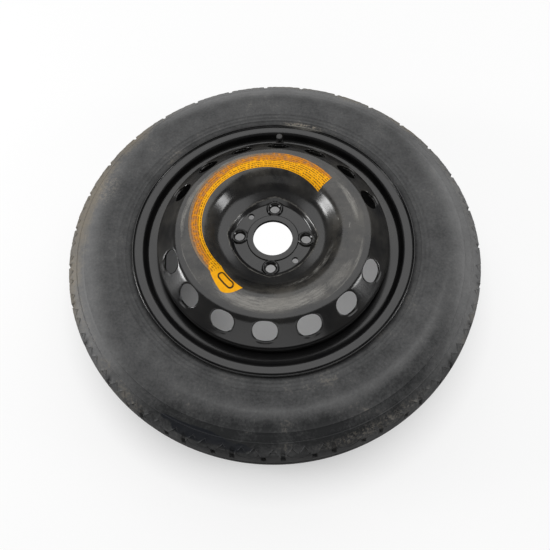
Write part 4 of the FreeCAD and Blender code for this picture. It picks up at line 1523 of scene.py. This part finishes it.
@dataclass
class Studio:
    """Pale floor, soft lamps and the camera at the photograph's angle."""

    floor_height: float = -103.5
    floor_half: float = 6000.0
    floor_colour: str = "#f4f4f4"
    bounce_colour: str = "#8c8c8c"
    floor_glow: float = 0.75
    shade_glow: Pair = (0.03, 0.2)
    shade_side: Pair = (-170.0, -30.0)
    shade_edge: Pair = (256.0, 356.0)
    # Painted light: a round of the paper under the bore glows full white where the wheel's shadow falls.
    bore_painted_light_place: Triple = (-6.8, 57.0, -103.5)
    bore_painted_light_radius: float = 39.0
    ambient: float = 0.15
    azimuth: float = 6.82
    elevation: float = 63.59
    distance: float = 745.22
    roll: float = 3.62
    focal_px: float = 479.62
    image_px: float = 550.0
    principal_px: Pair = (273.64, 251.49)
    sensor: float = 36.0
    lamps: tuple[Lamp, ...] = (
        Lamp("overhead", (100.0, 1150.0, 2350.0), (4800.0, 3000.0), 80.0),
        Lamp("front_card", (0.0, -2320.0, 890.0), (3600.0, 760.0), 10.0),
        Lamp("window_left", (-1864.0, -120.0, 640.0), (600.0, 450.0), 16.0),
        Lamp("window_right", (1794.0, -200.0, 740.0), (500.0, 360.0), 6.5),
    )

    def paper(self) -> Material:
        """White paper: to the camera it glows, less so under the wheel, where its shadow stays.

        A round of it, the part that shows through the hub's bore, glows full white: painted light where the
        wheel's shadow falls. Painted shade makes the shade under the wheel deeper on the left. In the light
        that it throws back the paper is mid grey.

        Returns:
            The material.
        """
        material = bpy.data.materials.new("white_studio_paper")
        material.use_nodes = True
        tree = material.node_tree
        tree.nodes.clear()
        bench = Bench(tree)
        seen = add_node(tree, "ShaderNodeLightPath").outputs["Is Camera Ray"]
        place = bench.place()
        from_bore_painted_light = bench.vector("DISTANCE", place, [c * MM for c in self.bore_painted_light_place])
        bore_painted_light = bench.ramp(from_bore_painted_light, (self.bore_painted_light_radius - 1.0) * MM, self.bore_painted_light_radius * MM, 1.0, 0.0)
        sideways = add_node(tree, "ShaderNodeSeparateXYZ", {0: place}).outputs["X"]
        # Painted shade: the glow falls off towards the left under the wheel.
        shade = bench.ramp(sideways, *(s * MM for s in self.shade_side), *self.shade_glow)
        from_axis = bench.vector("LENGTH", bench.vector("MULTIPLY", place, (1.0, 1.0, 0.0)))
        open_floor = bench.ramp(from_axis, *(s * MM for s in self.shade_edge), shade, self.floor_glow)
        share = bench.maths("MULTIPLY", seen, bench.maths("MAXIMUM", bore_painted_light, open_floor))
        tone = bench.mix(seen, self.bounce_colour, self.floor_colour)
        matt = add_node(tree, "ShaderNodeBsdfDiffuse", {"Color": tone})
        glow = add_node(tree, "ShaderNodeEmission", {"Color": (1.0, 1.0, 1.0, 1.0), "Strength": 1.0})
        mixed = add_node(tree, "ShaderNodeMixShader", {0: share, 1: matt.outputs[0], 2: glow.outputs[0]})
        add_node(tree, "ShaderNodeOutputMaterial", {"Surface": mixed.outputs[0]})
        return material

    def floor(self) -> None:
        """Lay the paper as one flat square under the wheel."""
        half, z = self.floor_half * MM, self.floor_height * MM
        mesh = bpy.data.meshes.new("floor")
        corners = [(-half, -half, z), (half, -half, z), (half, half, z), (-half, half, z)]
        mesh.from_pydata(corners, [], [(0, 1, 2, 3)])
        mesh.materials.append(self.paper())
        into_scene("floor", mesh)

    def world(self) -> None:
        """Even white surroundings: full white to the camera, and a low soft light on the wheel."""
        world = bpy.data.worlds.new("studio")
        world.use_nodes = True
        tree = world.node_tree
        seen = add_node(tree, "ShaderNodeLightPath").outputs["Is Camera Ray"]
        background = tree.nodes["Background"]
        background.inputs["Color"].default_value = (1.0, 1.0, 1.0, 1.0)
        tree.links.new(Bench(tree).ramp(seen, 0.0, 1.0, self.ambient, 1.0), background.inputs["Strength"])
        bpy.context.scene.world = world

    def camera(self) -> None:
        """Set the camera by azimuth, elevation, distance and roll about the middle of the wheel."""
        turn, rise, roll = (math.radians(a) for a in (self.azimuth, self.elevation, self.roll))
        back = Vector((math.sin(turn) * math.cos(rise), -math.cos(turn) * math.cos(rise), math.sin(rise)))
        level = Vector((math.cos(turn), math.sin(turn), 0.0))
        above = back.cross(level)
        right = level * math.cos(roll) - above * math.sin(roll)
        up = level * math.sin(roll) + above * math.cos(roll)
        data = bpy.data.cameras.new("camera")
        data.sensor_width = self.sensor
        data.lens = self.sensor * self.focal_px / self.image_px
        middle = self.image_px / 2
        data.shift_x = (middle - self.principal_px[0]) / self.image_px
        data.shift_y = (self.principal_px[1] - middle) / self.image_px
        camera = into_scene("camera", data)
        place = back * self.distance * MM + Vector((0.0, 0.0, MIDDLE_PLANE * MM))
        camera.matrix_world = Matrix.Translation(place) @ Matrix((right, up, back)).transposed().to_4x4()
        bpy.context.scene.camera = camera

    def build(self) -> None:
        """Set up the floor, the light and the camera."""
        self.floor()
        self.world()
        for lamp in self.lamps:
            lamp.hang()
        self.camera()
        bpy.context.scene.view_settings.view_transform = "Standard"
        log.info("studio: floor, lamps and camera set")


def main() -> None:
    """Build the wheel's pieces and the studio round the frame."""
    logging.basicConfig(level=logging.INFO, format="%(name)s: %(message)s")
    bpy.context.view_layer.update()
    rubber = TyreRubber("vulcanised_tyre_rubber", 0.55, 1.36).dress()
    paint = BlackPaint("baked_black_enamel", 0.18).dress()
    film = PrintedFilm("printed_polyester_film", 0.6, 1.25).dress()
    # Turned brass: a warm yellow glint inside the valve.
    brass = PlainFinish("turned_brass", 0.3, metallic=1.0, colour="#b5924c", drift="#96783c").dress()
    # Drawn spring steel: thin bright turns of wire.
    wire = PlainFinish("drawn_spring_steel", 0.3, metallic=1.0, colour="#a9a9a8", drift="#8c8c8b").dress()
    # Moulded valve rubber: plain matt black beside the painted rim.
    soft = PlainFinish("moulded_valve_rubber", 0.62, colour="#1d1d1d", drift="#2b2a29").dress()
    # Moulded nylon: a cap a little glossier than the rubber under it.
    plastic = PlainFinish("moulded_cap_nylon", 0.5, colour="#232323", drift="#31302f").dress()
    Tyre().build(rubber)
    RimBarrel().build(paint)
    disc = PressedDisc()
    disc.build(paint)
    CrownLabel(disc).build(film)
    Valve().build(soft, plastic)
    dressed = {"weld_beads": paint, "valve_stem": brass, "valve_core": brass, "core_pin": brass}
    dressed |= {"core_spring": wire, "cap_seal": soft}
    for node, material in dressed.items():
        dress_node(node, material)
    Studio().build()


if __name__ == "__main__":
    main()
